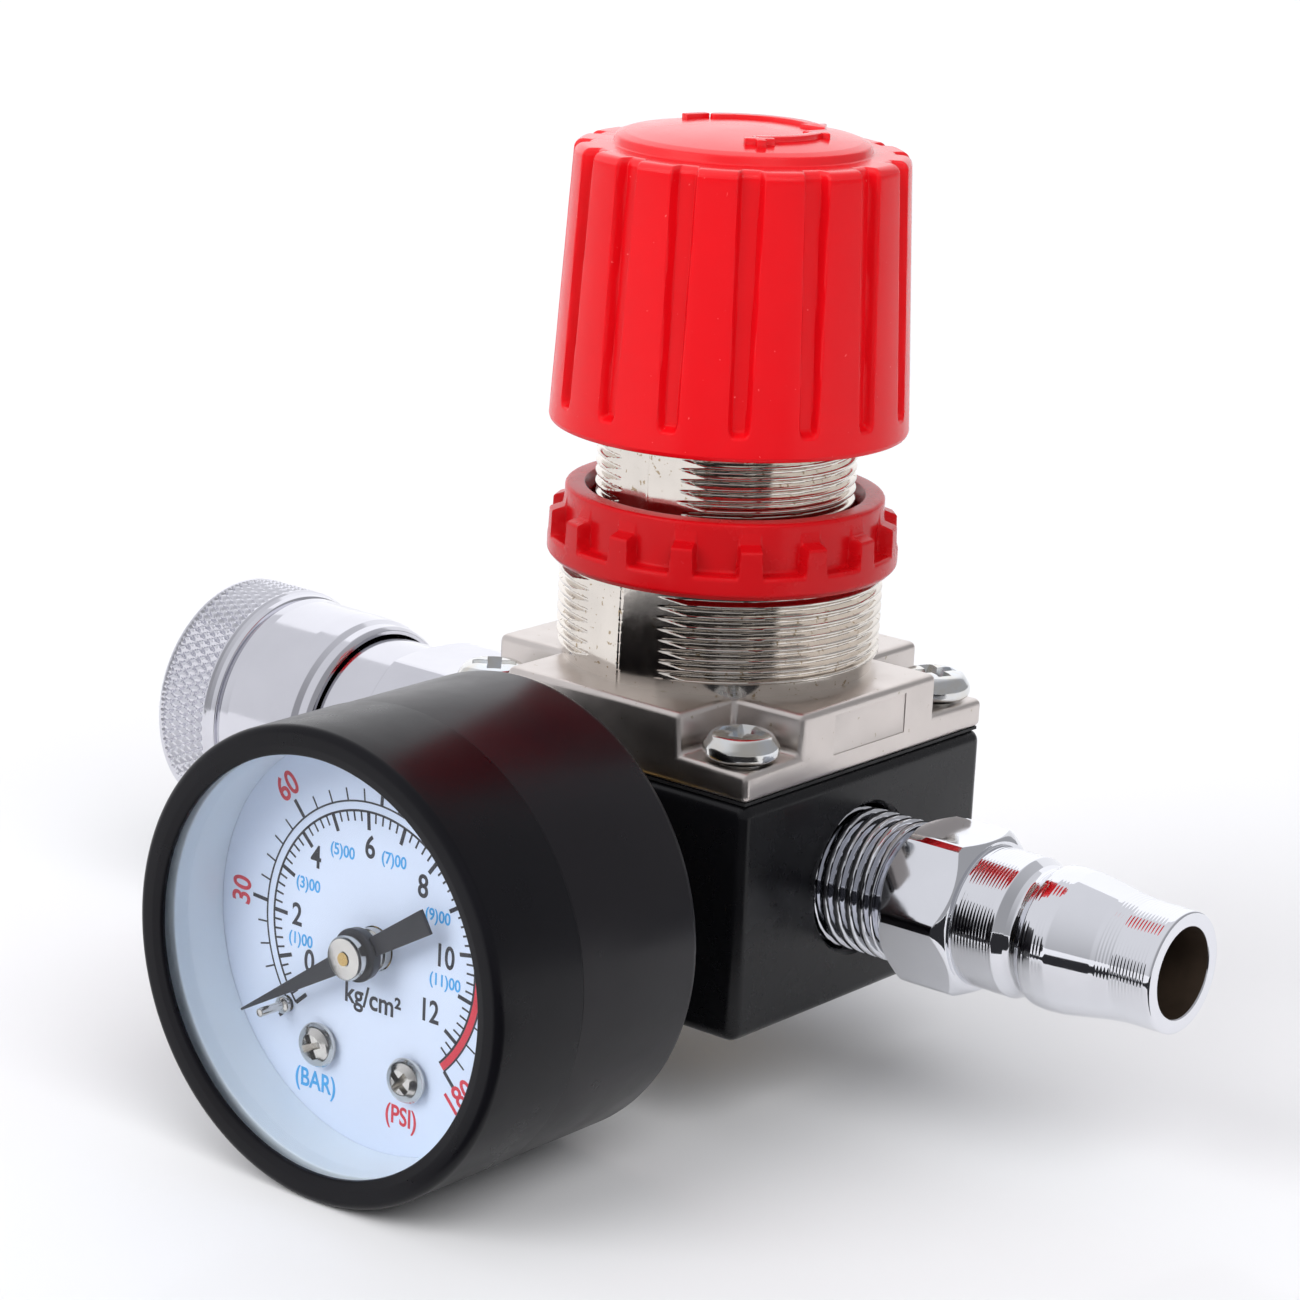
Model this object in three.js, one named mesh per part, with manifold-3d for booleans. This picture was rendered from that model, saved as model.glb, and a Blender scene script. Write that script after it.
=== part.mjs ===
// Compressed-air line pressure regulator with a pressure gauge, a quick-connect plug on the inlet and a
// quick coupler on the outlet.  Millimetres, +Z up along the adjusting knob's axis, +X out of the inlet plug,
// -Y out of the gauge's dial.  The origin is the centre of the body block's bottom face.
import * as THREE from 'three';
import { mergeVertices } from 'three/addons/utils/BufferGeometryUtils.js';
import Module from 'manifold-3d';

const wasm = await Module();
wasm.setup();

// ---------------------------------------------------------------- driving dimensions (mm)
const BODY_HALF = 18.15;        // half width of the body block
const BODY_TOP = 22.1;
const BODY_EDGE_R = 1.2;
const FLANGE_HALF = 18.0;       // half width of the bonnet flange
const FLANGE_Z0 = 22.4;
const SCREW_SEAT_Z = 25.1;      // top of the flange under the screw heads
const FLANGE_TOP = 29.0;        // top of the raised cross of the flange
const NOTCH = 10.17;            // half width of the raised cross
const COLLAR_R = 15.0;          // M30 x 1 collar
const COLLAR_TOP = 38.0;
const NECK_R = 12.0;            // M24 x 1 neck
const NECK_TOP = 62.0;
const SPRING_BORE_R = 9.9;
const RING_Z0 = 38.3, RING_Z1 = 45.0, RING_FLANGE_TOP = 40.05, RING_TEETH_TOP = 43.5;
const RING_R = 16.2, RING_TOP_R = 14.74, RING_BORE_R = 12.3, RING_TEETH = 16;
const RING_TOOTH_AT = 47.3;     // degrees from -Y towards +X
const KNOB_Z0 = 50.92, KNOB_Z1 = 76.35, KNOB_TOP = 78.3;
const KNOB_R0 = 16.53, KNOB_R1 = 15.21, KNOB_FLUTES = 16, KNOB_FLUTE_AT = 41.0;
const KNOB_BORE_R = 12.4, KNOB_CEILING = 68.5;
const SCREW_AT = 14.6;          // bonnet screws, from the centre along X and Y
const PORT_Z = 11.6;            // inlet and outlet axis
const PORT_R = 6.9, PORT_DEPTH = 9.35, G14_R = 6.58;
const GAUGE_Z = 11.24;          // gauge axis
const GPORT_R = 5.2, G18_R = 4.86;
const PLUG_TIP_X = 52.67, PLUG_TIP_R = 5.5, PLUG_BORE_R = 4.13, PLUG_HEX = 14.0;
const BEZEL_FRONT = 53.34, BEZEL_R = 21.05, BEZEL_BACK = 42.8;
const CASE_BACK = 27.1, CASE_R = 20.95, CASE_NECK_R = 20.2, CASE_BORE_R = 19.4;
const WINDOW_EDGE_R = 18.4;
const DIAL_FRONT = 45.5;        // distance of the dial's face in front of the body's centre
const COUPLER_HEX = 20.0, COUPLER_MOUTH = 62.3, SLEEVE_R = 11.45, KNURL_R = 12.1;
const BALL_R = 1.5, BALL_AT_R = 7.5, BALL_X = 56.0;
// gauge gear train: a toothed sector drives the pointer's pinion
const MODULE_MM = 0.25, PINION_TEETH = 10, SECTOR_TEETH = 80;
const CENTRE_DISTANCE = MODULE_MM * (PINION_TEETH + SECTOR_TEETH) / 2;
const SECTOR_AT = 212.2;        // direction of the sector's pivot seen from the dial side, degrees
const POINTER_REST = 212.6;     // direction of the needle at rest, degrees

const SEG = 24;                 // facets round a large turned part
const D = Math.PI / 180;

// ---------------------------------------------------------------- materials
const mat = (hex, roughness, metalness, extra = {}) => new THREE.MeshStandardMaterial({ color: hex, roughness, metalness, ...extra });
const BLACK_PAINT = mat(0x0b0b0c, 0.32, 0.1);
const NICKEL = mat(0xcfc6bb, 0.18, 1.0);
const CHROME = mat(0xd9dadf, 0.08, 1.0);
const RED = mat(0xd6101c, 0.28, 0.0);
const ZINC = mat(0xc4ccd6, 0.25, 1.0);
const BLACK_STEEL = mat(0x141416, 0.35, 0.2);
const WHITE = mat(0xe6ebf5, 0.5, 0.0);
const GLASS = mat(0xe8eefc, 0.05, 0.0, { transparent: true, opacity: 0.25 });
const BRASS = mat(0xc9a24a, 0.3, 1.0);
const STEEL = mat(0xa9abb0, 0.3, 1.0);
const RUBBER = mat(0x161616, 0.7, 0.0);
const NEEDLE = mat(0x101010, 0.45, 0.1);

// ---------------------------------------------------------------- helpers
function clean(geo) {
  let g = geo.clone();
  for (const a of Object.keys(g.attributes)) if (a !== 'position') g.deleteAttribute(a);
  g = mergeVertices(g, 1e-4);
  const p = g.attributes.position, idx = g.index.array, out = [];
  let vol = 0;
  const a = new THREE.Vector3(), b = new THREE.Vector3(), c = new THREE.Vector3();
  for (let i = 0; i < idx.length; i += 3) {
    const [u, v, w] = [idx[i], idx[i + 1], idx[i + 2]];
    if (u === v || v === w || w === u) continue;
    a.fromBufferAttribute(p, u); b.fromBufferAttribute(p, v); c.fromBufferAttribute(p, w);
    vol += a.dot(b.clone().cross(c));
    out.push(u, v, w);
  }
  if (vol < 0) for (let i = 0; i < out.length; i += 3) { const t = out[i]; out[i] = out[i + 1]; out[i + 1] = t; }
  const r = new THREE.BufferGeometry();
  r.setAttribute('position', new THREE.BufferAttribute(new Float32Array(p.array), 3));
  r.setIndex(out);
  return r;
}
const solid = (geo) => {
  const g = clean(geo);
  return new wasm.Manifold(new wasm.Mesh({ numProp: 3, vertProperties: new Float32Array(g.attributes.position.array), triVerts: new Uint32Array(g.index.array) }));
};
function geometry(man) {
  const m = man.getMesh(), np = m.numProp, n = m.vertProperties.length / np, pos = new Float32Array(n * 3);
  for (let i = 0; i < n; i++) for (let k = 0; k < 3; k++) pos[3 * i + k] = m.vertProperties[np * i + k];
  const g = new THREE.BufferGeometry();
  g.setAttribute('position', new THREE.BufferAttribute(pos, 3));
  g.setIndex(Array.from(m.triVerts));
  return g;
}
const cut = (base, ...tools) => tools.reduce((s, t) => s.subtract(t), base);
const join = (...parts) => parts.reduce((s, t) => s.add(t));

// a turned solid from [radius, station] points; the axis is X, Y or Z and stations run along it
function turned(points, axis, seg = SEG, turn = 0) {
  const g = new THREE.LatheGeometry(points.map(([r, h]) => new THREE.Vector2(r, h)), seg);
  if (turn) g.rotateY(turn);
  if (axis === 'Z') g.rotateX(Math.PI / 2);
  if (axis === 'X') g.rotateZ(-Math.PI / 2);
  return g;
}
const closed = (points) => [...points, points[0]];
const rod = (r, h0, h1, axis, seg = 16) => turned([[0, h0], [r, h0], [r, h1], [0, h1]], axis, seg);
const tube = (ri, ro, h0, h1, axis, seg = 20) => turned(closed([[ri, h0], [ro, h0], [ro, h1], [ri, h1]]), axis, seg);
const box = (x0, x1, y0, y1, z0, z1) => new THREE.BoxGeometry(x1 - x0, y1 - y0, z1 - z0).translate((x0 + x1) / 2, (y0 + y1) / 2, (z0 + z1) / 2);
const at = (g, x, y, z) => g.translate(x, y, z);

function roundedSquare(half, r, n = 4) {
  const s = new THREE.Shape(), pts = [];
  for (const [sx, sy, a0] of [[1, 1, 0], [-1, 1, 90], [-1, -1, 180], [1, -1, 270]])
    for (let i = 0; i <= n; i++) {
      const t = (a0 + 90 * i / n) * D;
      pts.push(new THREE.Vector2(sx * (half - r) + r * Math.cos(t), sy * (half - r) + r * Math.sin(t)));
    }
  s.setFromPoints(pts);
  return s;
}
const polygon = (pts) => new THREE.Shape(pts.map(([x, y]) => new THREE.Vector2(x, y)));
const slab = (shape, z0, z1) => new THREE.ExtrudeGeometry(shape, { depth: z1 - z0, bevelEnabled: false, curveSegments: 12 }).translate(0, 0, z0);
// a shape drawn as (x, z) seen from the dial side, extruded between two distances in front of the body's centre
const plate = (shape, y0, y1) => new THREE.ExtrudeGeometry(shape, { depth: y1 - y0, bevelEnabled: false, curveSegments: 12 })
  .rotateX(Math.PI / 2).translate(0, -y0, 0);
const hexPrism = (af, h0, h1, axis, turn = 0) => turned([[0, h0], [af / Math.sqrt(3), h0], [af / Math.sqrt(3), h1], [0, h1]], axis, 6, turn);

class Helix extends THREE.Curve {
  constructor(r, h0, h1, turns, axis, flat = 0.75) { super(); Object.assign(this, { r, h0, h1, turns, axis, flat }); }
  getPoint(t, target = new THREE.Vector3()) {
    const a = 2 * Math.PI * this.turns * t;
    // the end coils lie nearly flat
    const e = this.flat / this.turns, k = 0.25;
    const f = t < e ? k * t : t > 1 - e ? 1 - k * (1 - t) : k * e + (t - e) * (1 - 2 * k * e) / (1 - 2 * e);
    const h = this.h0 + (this.h1 - this.h0) * f, c = this.r * Math.cos(a), s = this.r * Math.sin(a);
    return this.axis === 'Z' ? target.set(c, s, h) : target.set(h, c, s);
  }
}
function coil(r, wire, h0, h1, turns, axis, perTurn = 14, sides = 6) {
  const path = new Helix(r, h0 + wire * Math.sign(h1 - h0), h1 - wire * Math.sign(h1 - h0), turns, axis);
  const s = new THREE.Shape();
  s.setFromPoints(Array.from({ length: sides }, (_, i) => new THREE.Vector2(wire * Math.cos(2 * Math.PI * i / sides), wire * Math.sin(2 * Math.PI * i / sides))));
  return new THREE.ExtrudeGeometry(s, { extrudePath: path, steps: Math.round(perTurn * turns), bevelEnabled: false });
}

const regulator = new THREE.Group();
function add(name, shape, material, group = regulator) {
  const g = shape.getMesh ? geometry(shape) : clean(shape);
  g.computeVertexNormals();
  const m = new THREE.Mesh(g, material);
  m.name = name;
  group.add(m);
  return m;
}

// ---------------------------------------------------------------- body block
{
  let b = solid(slab(roundedSquare(BODY_HALF, BODY_EDGE_R), 0, BODY_TOP));
  const holes = [
    rod(14.6, 20.4, BODY_TOP + 1, 'Z', SEG),                                   // diaphragm seat
    rod(12.8, 19.4, 20.6, 'Z', SEG),                                           // outlet chamber
    rod(5.2, 17.6, 19.8, 'Z', 16),                                             // room for the diaphragm nut
    rod(3.2, 12.8, 18.0, 'Z', 12),
    rod(2.4, 10.5, 13.2, 'Z', 12),                                             // valve seat
    rod(6.2, 3.4, 11.0, 'Z', 16),                                              // inlet chamber
    rod(7.6, -1, 3.8, 'Z', 20),                                                // bottom plug's thread
    at(rod(PORT_R, BODY_HALF - PORT_DEPTH, BODY_HALF + 1, 'X', 20), 0, 0, PORT_Z),
    at(rod(PORT_R, -BODY_HALF - 1, -BODY_HALF + PORT_DEPTH, 'X', 20), 0, 0, PORT_Z),
    at(rod(1.8, 5, 9.6, 'X', 8), 0, 0, 8.5),                                  // inlet passage
    at(rod(1.8, 16, 19.8, 'Z', 8), -11, 0, 0),                                // outlet passage
    at(rod(GPORT_R, -BODY_HALF - 1, -8.8, 'Y', 16), 0, 0, GAUGE_Z),            // gauge port
    at(rod(GPORT_R, 8.8, BODY_HALF + 1, 'Y', 16), 0, 0, GAUGE_Z),              // rear port
    at(rod(1.2, 15, 19.8, 'Z', 8), 0, -10.8, 0),
    at(rod(1.2, 15, 19.8, 'Z', 8), 0, 10.8, 0),
  ];
  for (const sx of [-1, 1]) for (const sy of [-1, 1]) holes.push(at(rod(2.3, 11.5, BODY_TOP + 1, 'Z', 12), sx * SCREW_AT, sy * SCREW_AT, 0));
  add('valve_body', cut(b, ...holes.map(solid)), BLACK_PAINT);
}
// ---------------------------------------------------------------- bonnet with its two threaded barrels
{
  const cross = polygon([[NOTCH, -FLANGE_HALF], [NOTCH, -NOTCH], [FLANGE_HALF, -NOTCH], [FLANGE_HALF, NOTCH], [NOTCH, NOTCH], [NOTCH, FLANGE_HALF],
    [-NOTCH, FLANGE_HALF], [-NOTCH, NOTCH], [-FLANGE_HALF, NOTCH], [-FLANGE_HALF, -NOTCH], [-NOTCH, -NOTCH], [-NOTCH, -FLANGE_HALF]]);
  let s = join(
    solid(slab(roundedSquare(FLANGE_HALF, 0.9, 3), FLANGE_Z0, SCREW_SEAT_Z)),
    solid(slab(cross, SCREW_SEAT_Z - 0.5, FLANGE_TOP)),
    solid(rod(COLLAR_R, SCREW_SEAT_Z - 0.4, COLLAR_TOP, 'Z', SEG)),
    solid(turned([[0, COLLAR_TOP - 1], [NECK_R, COLLAR_TOP - 1], [NECK_R, NECK_TOP - 0.8], [NECK_R - 0.8, NECK_TOP], [0, NECK_TOP]], 'Z', SEG)));
  const tools = [rod(SPRING_BORE_R, FLANGE_Z0 - 1, NECK_TOP + 1, 'Z', SEG),
    box(FLANGE_HALF - 0.35, FLANGE_HALF + 1, -5.4, 5.4, 24.3, 28.2)];          // shallow recess on the +X side
  for (const sx of [-1, 1]) for (const sy of [-1, 1]) {
    tools.push(at(rod(2.3, FLANGE_Z0 - 1, SCREW_SEAT_Z + 1, 'Z', 12), sx * SCREW_AT, sy * SCREW_AT, 0));
  }
  // the collar overhangs the screw notches a little: clear it down to the screw seats
  for (const sx of [-1, 1]) for (const sy of [-1, 1]) {
    const x = [sx * NOTCH, sx * 19].sort((a, c) => a - c), y = [sy * NOTCH, sy * 19].sort((a, c) => a - c);
    tools.push(box(x[0], x[1], y[0], y[1], SCREW_SEAT_Z, FLANGE_TOP));
  }
  add('bonnet', cut(s, ...tools.map(solid)), NICKEL);
}
// ---------------------------------------------------------------- bonnet screws, pan head, cross recess
{
  let n = 0;
  for (const [sx, sy] of [[1, -1], [1, 1], [-1, 1], [-1, -1]]) {
    const z = SCREW_SEAT_Z + 0.3;
    const head = solid(turned([[0, 12.2], [1.5, 12.2], [2.0, 12.8], [2.0, z], [3.3, z], [3.4, z + 0.5], [3.2, z + 1.4], [2.4, z + 2.1], [0, z + 2.4]], 'Z', 12));
    const cross = join(solid(box(-2.0, 2.0, -0.45, 0.45, z + 1.0, z + 3)), solid(box(-0.45, 0.45, -2.0, 2.0, z + 1.0, z + 3)));
    const s = head.subtract(cross);
    n += 1;
    const m = add('bonnet_screw_' + n, s, ZINC);
    m.position.set(sx * SCREW_AT, sy * SCREW_AT, 0);
    m.rotation.z = [20, 65, -15, 40][n - 1] * D;
  }
}
// ---------------------------------------------------------------- lock ring
{
  const ring = solid(turned(closed([[RING_BORE_R, RING_Z0 + 0.4], [RING_BORE_R + 0.4, RING_Z0], [RING_R - 0.3, RING_Z0], [RING_R, RING_Z0 + 0.3], [RING_R, RING_FLANGE_TOP],
    [RING_TOP_R, RING_FLANGE_TOP], [RING_TOP_R, RING_Z1 - 0.3], [RING_TOP_R - 0.3, RING_Z1], [12.85, RING_Z1], [RING_BORE_R, RING_Z1 - 1.1]]), 'Z', SEG));
  const teeth = [];
  for (let i = 0; i < RING_TEETH; i++) {
    const a = (-90 + RING_TOOTH_AT + 360 * i / RING_TEETH) * D, w = 1.18;
    const t = box(RING_TOP_R - 1.0, RING_R - 0.1, -w, w, RING_FLANGE_TOP - 0.5, RING_TEETH_TOP);
    t.rotateZ(a);
    teeth.push(solid(t));
  }
  add('lock_ring', join(ring, ...teeth), RED);
}
// ---------------------------------------------------------------- adjusting knob
{
  const taper = (z) => KNOB_R0 + (KNOB_R1 - KNOB_R0) * (z - KNOB_Z0) / (KNOB_Z1 - KNOB_Z0);
  let s = solid(turned([[0, KNOB_CEILING], [KNOB_BORE_R, KNOB_CEILING], [KNOB_BORE_R, KNOB_Z0], [KNOB_R0 - 0.3, KNOB_Z0], [KNOB_R0, KNOB_Z0 + 0.4], [KNOB_R1 + 0.05, KNOB_Z1 - 0.5],
    [KNOB_R1 - 0.4, KNOB_Z1], [11.5, KNOB_Z1], [11.5, KNOB_Z1 + 0.9], [10.6, KNOB_Z1 + 0.9], [10.3, KNOB_TOP], [0, KNOB_TOP]], 'Z', SEG));
  s = s.add(solid(turned([[0, 59.0], [4.4, 59.0], [5.0, 59.6], [5.0, KNOB_CEILING + 0.5], [0, KNOB_CEILING + 0.5]], 'Z', 24)));
  const flutes = [];
  for (let i = 0; i < KNOB_FLUTES; i++) {
    const a = (-90 + KNOB_FLUTE_AT + 360 * i / KNOB_FLUTES) * D;
    // groove narrows downwards and stops above the lower rim
    const r0 = taper(54.5), r1 = taper(KNOB_Z1);
    const shape = polygon([[r0 - 0.75, -0.72], [r0 + 2, -1.05], [r0 + 2, 1.05], [r0 - 0.75, 0.72]]);
    const g = new THREE.ExtrudeGeometry(shape, { depth: KNOB_Z1 + 1 - 54.4, bevelEnabled: false });
    const p = g.attributes.position;
    for (let k = 0; k < p.count; k++) {
      const f = p.getZ(k) / (KNOB_Z1 - 54.4);
      p.setX(k, p.getX(k) - (r0 - r1) * f);
      p.setY(k, p.getY(k) * (1 + 0.5 * f));
    }
    g.translate(0, 0, 54.4).rotateZ(a);
    flutes.push(solid(g));
  }
  add('adjusting_knob', cut(s, ...flutes), RED);
}
// ---------------------------------------------------------------- inside the bonnet
add('spring_button', turned([[0, 53.9], [6.1, 53.9], [6.1, 55.5], [9.5, 55.5], [9.5, 57.6], [5.0, 58.7], [0, 58.7]], 'Z', 24), BRASS);
add('main_spring', coil(7.55, 1.1, 24.2, 55.2, 6.5, 'Z', 10, 5), STEEL);
add('diaphragm_plate', turned(closed([[2.6, 22.4], [9.4, 22.4], [9.4, 23.9], [6.1, 23.9], [5.9, 25.4], [2.6, 25.4]]), 'Z', 20), BRASS);
add('diaphragm_nut', turned(closed([[0.8, 19.3], [4.5, 19.3], [4.5, 20.4], [2.3, 20.4], [2.3, 26.2], [0.8, 26.2]]), 'Z', 14), BRASS);
add('diaphragm', turned(closed([[2.7, 20.7], [14.3, 20.7], [14.3, 22.1], [2.7, 22.1]]), 'Z', 24), RUBBER);
// ---------------------------------------------------------------- valve
add('valve_stem', turned([[0, 3.2], [1.3, 3.2], [1.3, 8.2], [4.2, 8.2], [4.2, 9.6], [1.4, 9.6], [1.4, 18.6], [0.9, 19.0], [0, 19.0]], 'Z', 14), BRASS);
add('valve_seal', tube(1.7, 4.0, 9.9, 10.7, 'Z', 16), RUBBER);
add('valve_spring', coil(3.0, 0.35, 4.7, 7.9, 3.5, 'Z', 10, 4), STEEL);
{
  let s = solid(turned([[0, 0], [7.0, 0], [7.3, 0.3], [7.3, 2.0], [5.9, 2.0], [5.9, 4.4], [0, 4.4]], 'Z', 20));
  s = cut(s, solid(rod(1.7, 1.6, 5, 'Z', 10)), solid(at(rod(1.0, -1, 1.2, 'Z', 8), 4.4, 0, 0)), solid(at(rod(1.0, -1, 1.2, 'Z', 8), -4.4, 0, 0)));
  add('bottom_plug', s, BRASS);
}
{
  const ring = []; const n = 6;
  for (let i = 0; i <= n; i++) ring.push([6.75 + 0.55 * Math.cos(2 * Math.PI * i / n), 2.9 + 0.55 * Math.sin(2 * Math.PI * i / n)]);
  ring[n] = ring[0];
  add('bottom_plug_seal', turned(ring, 'Z', 20), RUBBER);
}
add('rear_port_plug', cut(solid(at(turned([[0, 10.2], [G18_R, 10.2], [G18_R, 17.5], [G18_R - 0.4, 17.9], [0, 17.9]], 'Y', 24), 0, 0, GAUGE_Z)),
  solid(at(hexPrism(5.0, 13.6, 19, 'Y'), 0, 0, GAUGE_Z))), ZINC);

// ---------------------------------------------------------------- inlet plug
{
  const x0 = 9.3, xh = 24.05, xe = 33.7;
  let s = solid(turned([[0, x0], [G14_R - 0.6, x0], [G14_R, x0 + 0.8], [G14_R, xh], [PLUG_HEX / 2 - 0.1, xh], [8.09, xh + 1.25], [8.09, xe - 0.75], [6.9, xe],
    [6.45, xe], [6.45, 36.9], [5.95, 37.8], [5.75, 38.4], [5.95, 39.0], [6.48, 39.8], [6.55, 41.0], [6.48, 42.4], [6.1, 44.6], [5.75, 46.6], [5.52, 48.6], [PLUG_TIP_R, 52.35],
    [PLUG_TIP_R - 0.3, PLUG_TIP_X], [0, PLUG_TIP_X]], 'X', SEG));
  const ends = join(solid(rod(20, x0 - 1, xh + 0.001, 'X', 12)), solid(rod(20, xe - 0.001, PLUG_TIP_X + 1, 'X', 12)), solid(hexPrism(PLUG_HEX, xh - 1, xe + 1, 'X')));
  s = s.intersect(ends).subtract(solid(rod(PLUG_BORE_R, 0, PLUG_TIP_X + 1, 'X', 20)));
  add('male_plug', s.translate(0, 0, PORT_Z), CHROME);
}
// ---------------------------------------------------------------- outlet coupler (stations are distances towards -X)
const mx = (g) => g.rotateZ(Math.PI);      // +X stations to -X
{
  let s = solid(mx(turned([[0, 9.3], [G14_R - 0.6, 9.3], [G14_R, 10.1], [G14_R, 23.5], [9.8, 23.5], [11.5, 24.6], [11.5, 35.6], [10.2, 36.7], [9.9, 36.7], [9.9, 43.5], [0, 43.5]], 'X', SEG)));
  const keep = join(solid(mx(rod(20, 8, 23.501, 'X', 12))), solid(mx(rod(20, 36.699, 45, 'X', 12))), solid(mx(hexPrism(COUPLER_HEX, 22, 38, 'X'))));
  s = s.intersect(keep);
  s = cut(s, solid(mx(rod(3.5, 5, 40, 'X', 20))), solid(mx(rod(8.3, 31.5, 45, 'X', 24))));
  add('coupler_adapter', s.translate(0, 0, PORT_Z), CHROME);
}
{
  const M = COUPLER_MOUTH;
  let s = solid(mx(turned(closed([[8.0, 31.8], [8.0, 43.8], [9.0, 43.8], [9.0, 60.0], [8.5, 60.0], [8.5, 61.0], [9.0, 61.0], [9.0, M - 0.3], [8.7, M], [7.1, M], [6.8, M - 0.5],
    [6.8, 51.0], [5.9, 50.6], [5.9, 50.4], [7.2, 50.4], [7.2, 48.4], [5.9, 48.4], [5.9, 47.0], [7.0, 47.0], [7.0, 31.8]]), 'X', SEG)));
  const holes = [];
  for (let i = 0; i < 4; i++) {
    const h = rod(1.8, 6.2, 9.6, 'Z', 10).translate(-BALL_X, 0, 0).rotateX(i * Math.PI / 2);
    holes.push(solid(h));
  }
  add('coupler_barrel', cut(s, ...holes).translate(0, 0, PORT_Z), STEEL);
}
add('coupler_sleeve', at(mx(turned(closed([[10.2, 41.1], [10.45, 41.1], [10.75, 41.6], [11.15, 43.0], [SLEEVE_R, 46.2], [SLEEVE_R, 52.5], [11.75, 54.6], [KNURL_R, 55.1], [KNURL_R, 61.4],
  [KNURL_R - 0.5, 62.0], [10.7, 62.0], [10.7, 59.6], [10.1, 59.6], [9.3, 56.0], [9.3, 52.0], [10.4, 52.0], [10.4, 42.3], [10.2, 42.1]]), 'X', SEG)), 0, 0, PORT_Z), CHROME);
add('sleeve_spring', at(mx(coil(9.72, 0.35, 43.8, 51.7, 4, 'X', 14, 4)), 0, 0, PORT_Z), STEEL);
{
  const ring = solid(mx(tube(8.8, 10.1, 60.25, 60.75, 'X', 20)));
  add('retaining_ring', ring.subtract(solid(box(-61.5, -59.5, -3.2, 3.2, -12, 0))).translate(0, 0, PORT_Z), STEEL);
}
for (let i = 0; i < 4; i++) {
  const a = i * 90 * D;
  const m = add('locking_ball_' + (i + 1), new THREE.SphereGeometry(BALL_R, 8, 6), STEEL);
  m.position.set(-BALL_X, -BALL_AT_R * Math.sin(a), PORT_Z + BALL_AT_R * Math.cos(a));
}
add('coupler_seal', at(mx(tube(5.6, 6.9, 48.7, 50.1, 'X', 20)), 0, 0, PORT_Z), RUBBER);
add('coupler_valve', at(mx(turned([[0, 38.0], [2.6, 38.0], [2.6, 44.2], [6.6, 44.2], [6.6, 46.7], [4.4, 46.7], [3.8, 48.2], [0, 48.2]], 'X', 16)), 0, 0, PORT_Z), BRASS);
add('coupler_valve_spring', at(mx(coil(4.6, 0.4, 31.9, 43.9, 5, 'X', 10, 4)), 0, 0, PORT_Z), STEEL);

// ---------------------------------------------------------------- gauge, built round its own axis
const gauge = new THREE.Group();
gauge.position.set(0, 0, GAUGE_Z);
regulator.add(gauge);
const g = (name, shape, material) => add(name, shape, material, gauge);
const yy = (pts) => pts.map(([r, d]) => [r, -d]);       // stations given as distances in front of the body's centre
g('gauge_case', turned(closed(yy([[4.6, CASE_BACK], [CASE_R - 1.0, CASE_BACK], [CASE_R - 0.3, CASE_BACK + 0.3], [CASE_R, CASE_BACK + 1.0], [CASE_R, BEZEL_BACK - 0.3], [CASE_NECK_R, BEZEL_BACK - 0.3],
  [CASE_NECK_R, 51.1], [CASE_BORE_R, 51.1], [CASE_BORE_R, CASE_BACK + 0.8], [4.6, CASE_BACK + 0.8]])), 'Y', 28), BLACK_STEEL);
g('gauge_bezel', turned(closed(yy([[20.5, BEZEL_BACK], [BEZEL_R, BEZEL_BACK], [BEZEL_R, 52.5], [BEZEL_R - 0.3, 53.1], [BEZEL_R - 0.9, BEZEL_FRONT], [19.2, BEZEL_FRONT], [18.7, 53.2], [WINDOW_EDGE_R, 52.7], [20.5, 52.7]])), 'Y', 28), BLACK_STEEL);
g('gauge_window', turned(yy([[0, 51.4], [20.0, 51.4], [20.0, 52.4], [0, 52.4]]), 'Y', 28), GLASS);
g('dial_ring', turned(closed(yy([[18.45, DIAL_FRONT + 0.3], [19.1, DIAL_FRONT + 0.3], [19.1, 51.1], [18.45, 51.1]])), 'Y', 28), WHITE);
const SCREW_L = [-5.95, -10.35], SCREW_R = [4.55, -10.65], PIN = [-10.3, -7.85];
const P = [CENTRE_DISTANCE * Math.cos(SECTOR_AT * D), CENTRE_DISTANCE * Math.sin(SECTOR_AT * D)];
const hole = (x, z, r, d0, d1, seg = 16) => solid(at(rod(r, -d1, -d0, 'Y', seg), x, 0, z));
g('gauge_dial', cut(solid(turned(yy([[0, DIAL_FRONT - 0.6], [19.1, DIAL_FRONT - 0.6], [19.1, DIAL_FRONT], [0, DIAL_FRONT]]), 'Y', 28)),
  hole(0, 0, 2.0, 44, 47), hole(...SCREW_L, 1.15, 44, 47), hole(...SCREW_R, 1.15, 44, 47), hole(...PIN, 0.75, 44, 47)), WHITE);
for (const [name, [x, z], turn] of [['dial_screw_left', SCREW_L, 25], ['dial_screw_right', SCREW_R, 50]]) {
  const f = DIAL_FRONT + 0.3;
  const head = solid(turned([[0, -43.9], [0.85, -43.9], [0.85, -f], [2.0, -f], [2.05, -(f + 0.4)], [1.7, -(f + 0.9)], [0, -(f + 1.25)]], 'Y', 14));
  const slots = join(solid(box(-1.15, 1.15, -(f + 2), -(f + 0.55), -0.3, 0.3)), solid(box(-0.3, 0.3, -(f + 2), -(f + 0.55), -1.15, 1.15)));
  const m = g(name, head.subtract(slots), STEEL);
  m.position.set(x, 0, z);
  m.rotation.y = turn * D;
}
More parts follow.
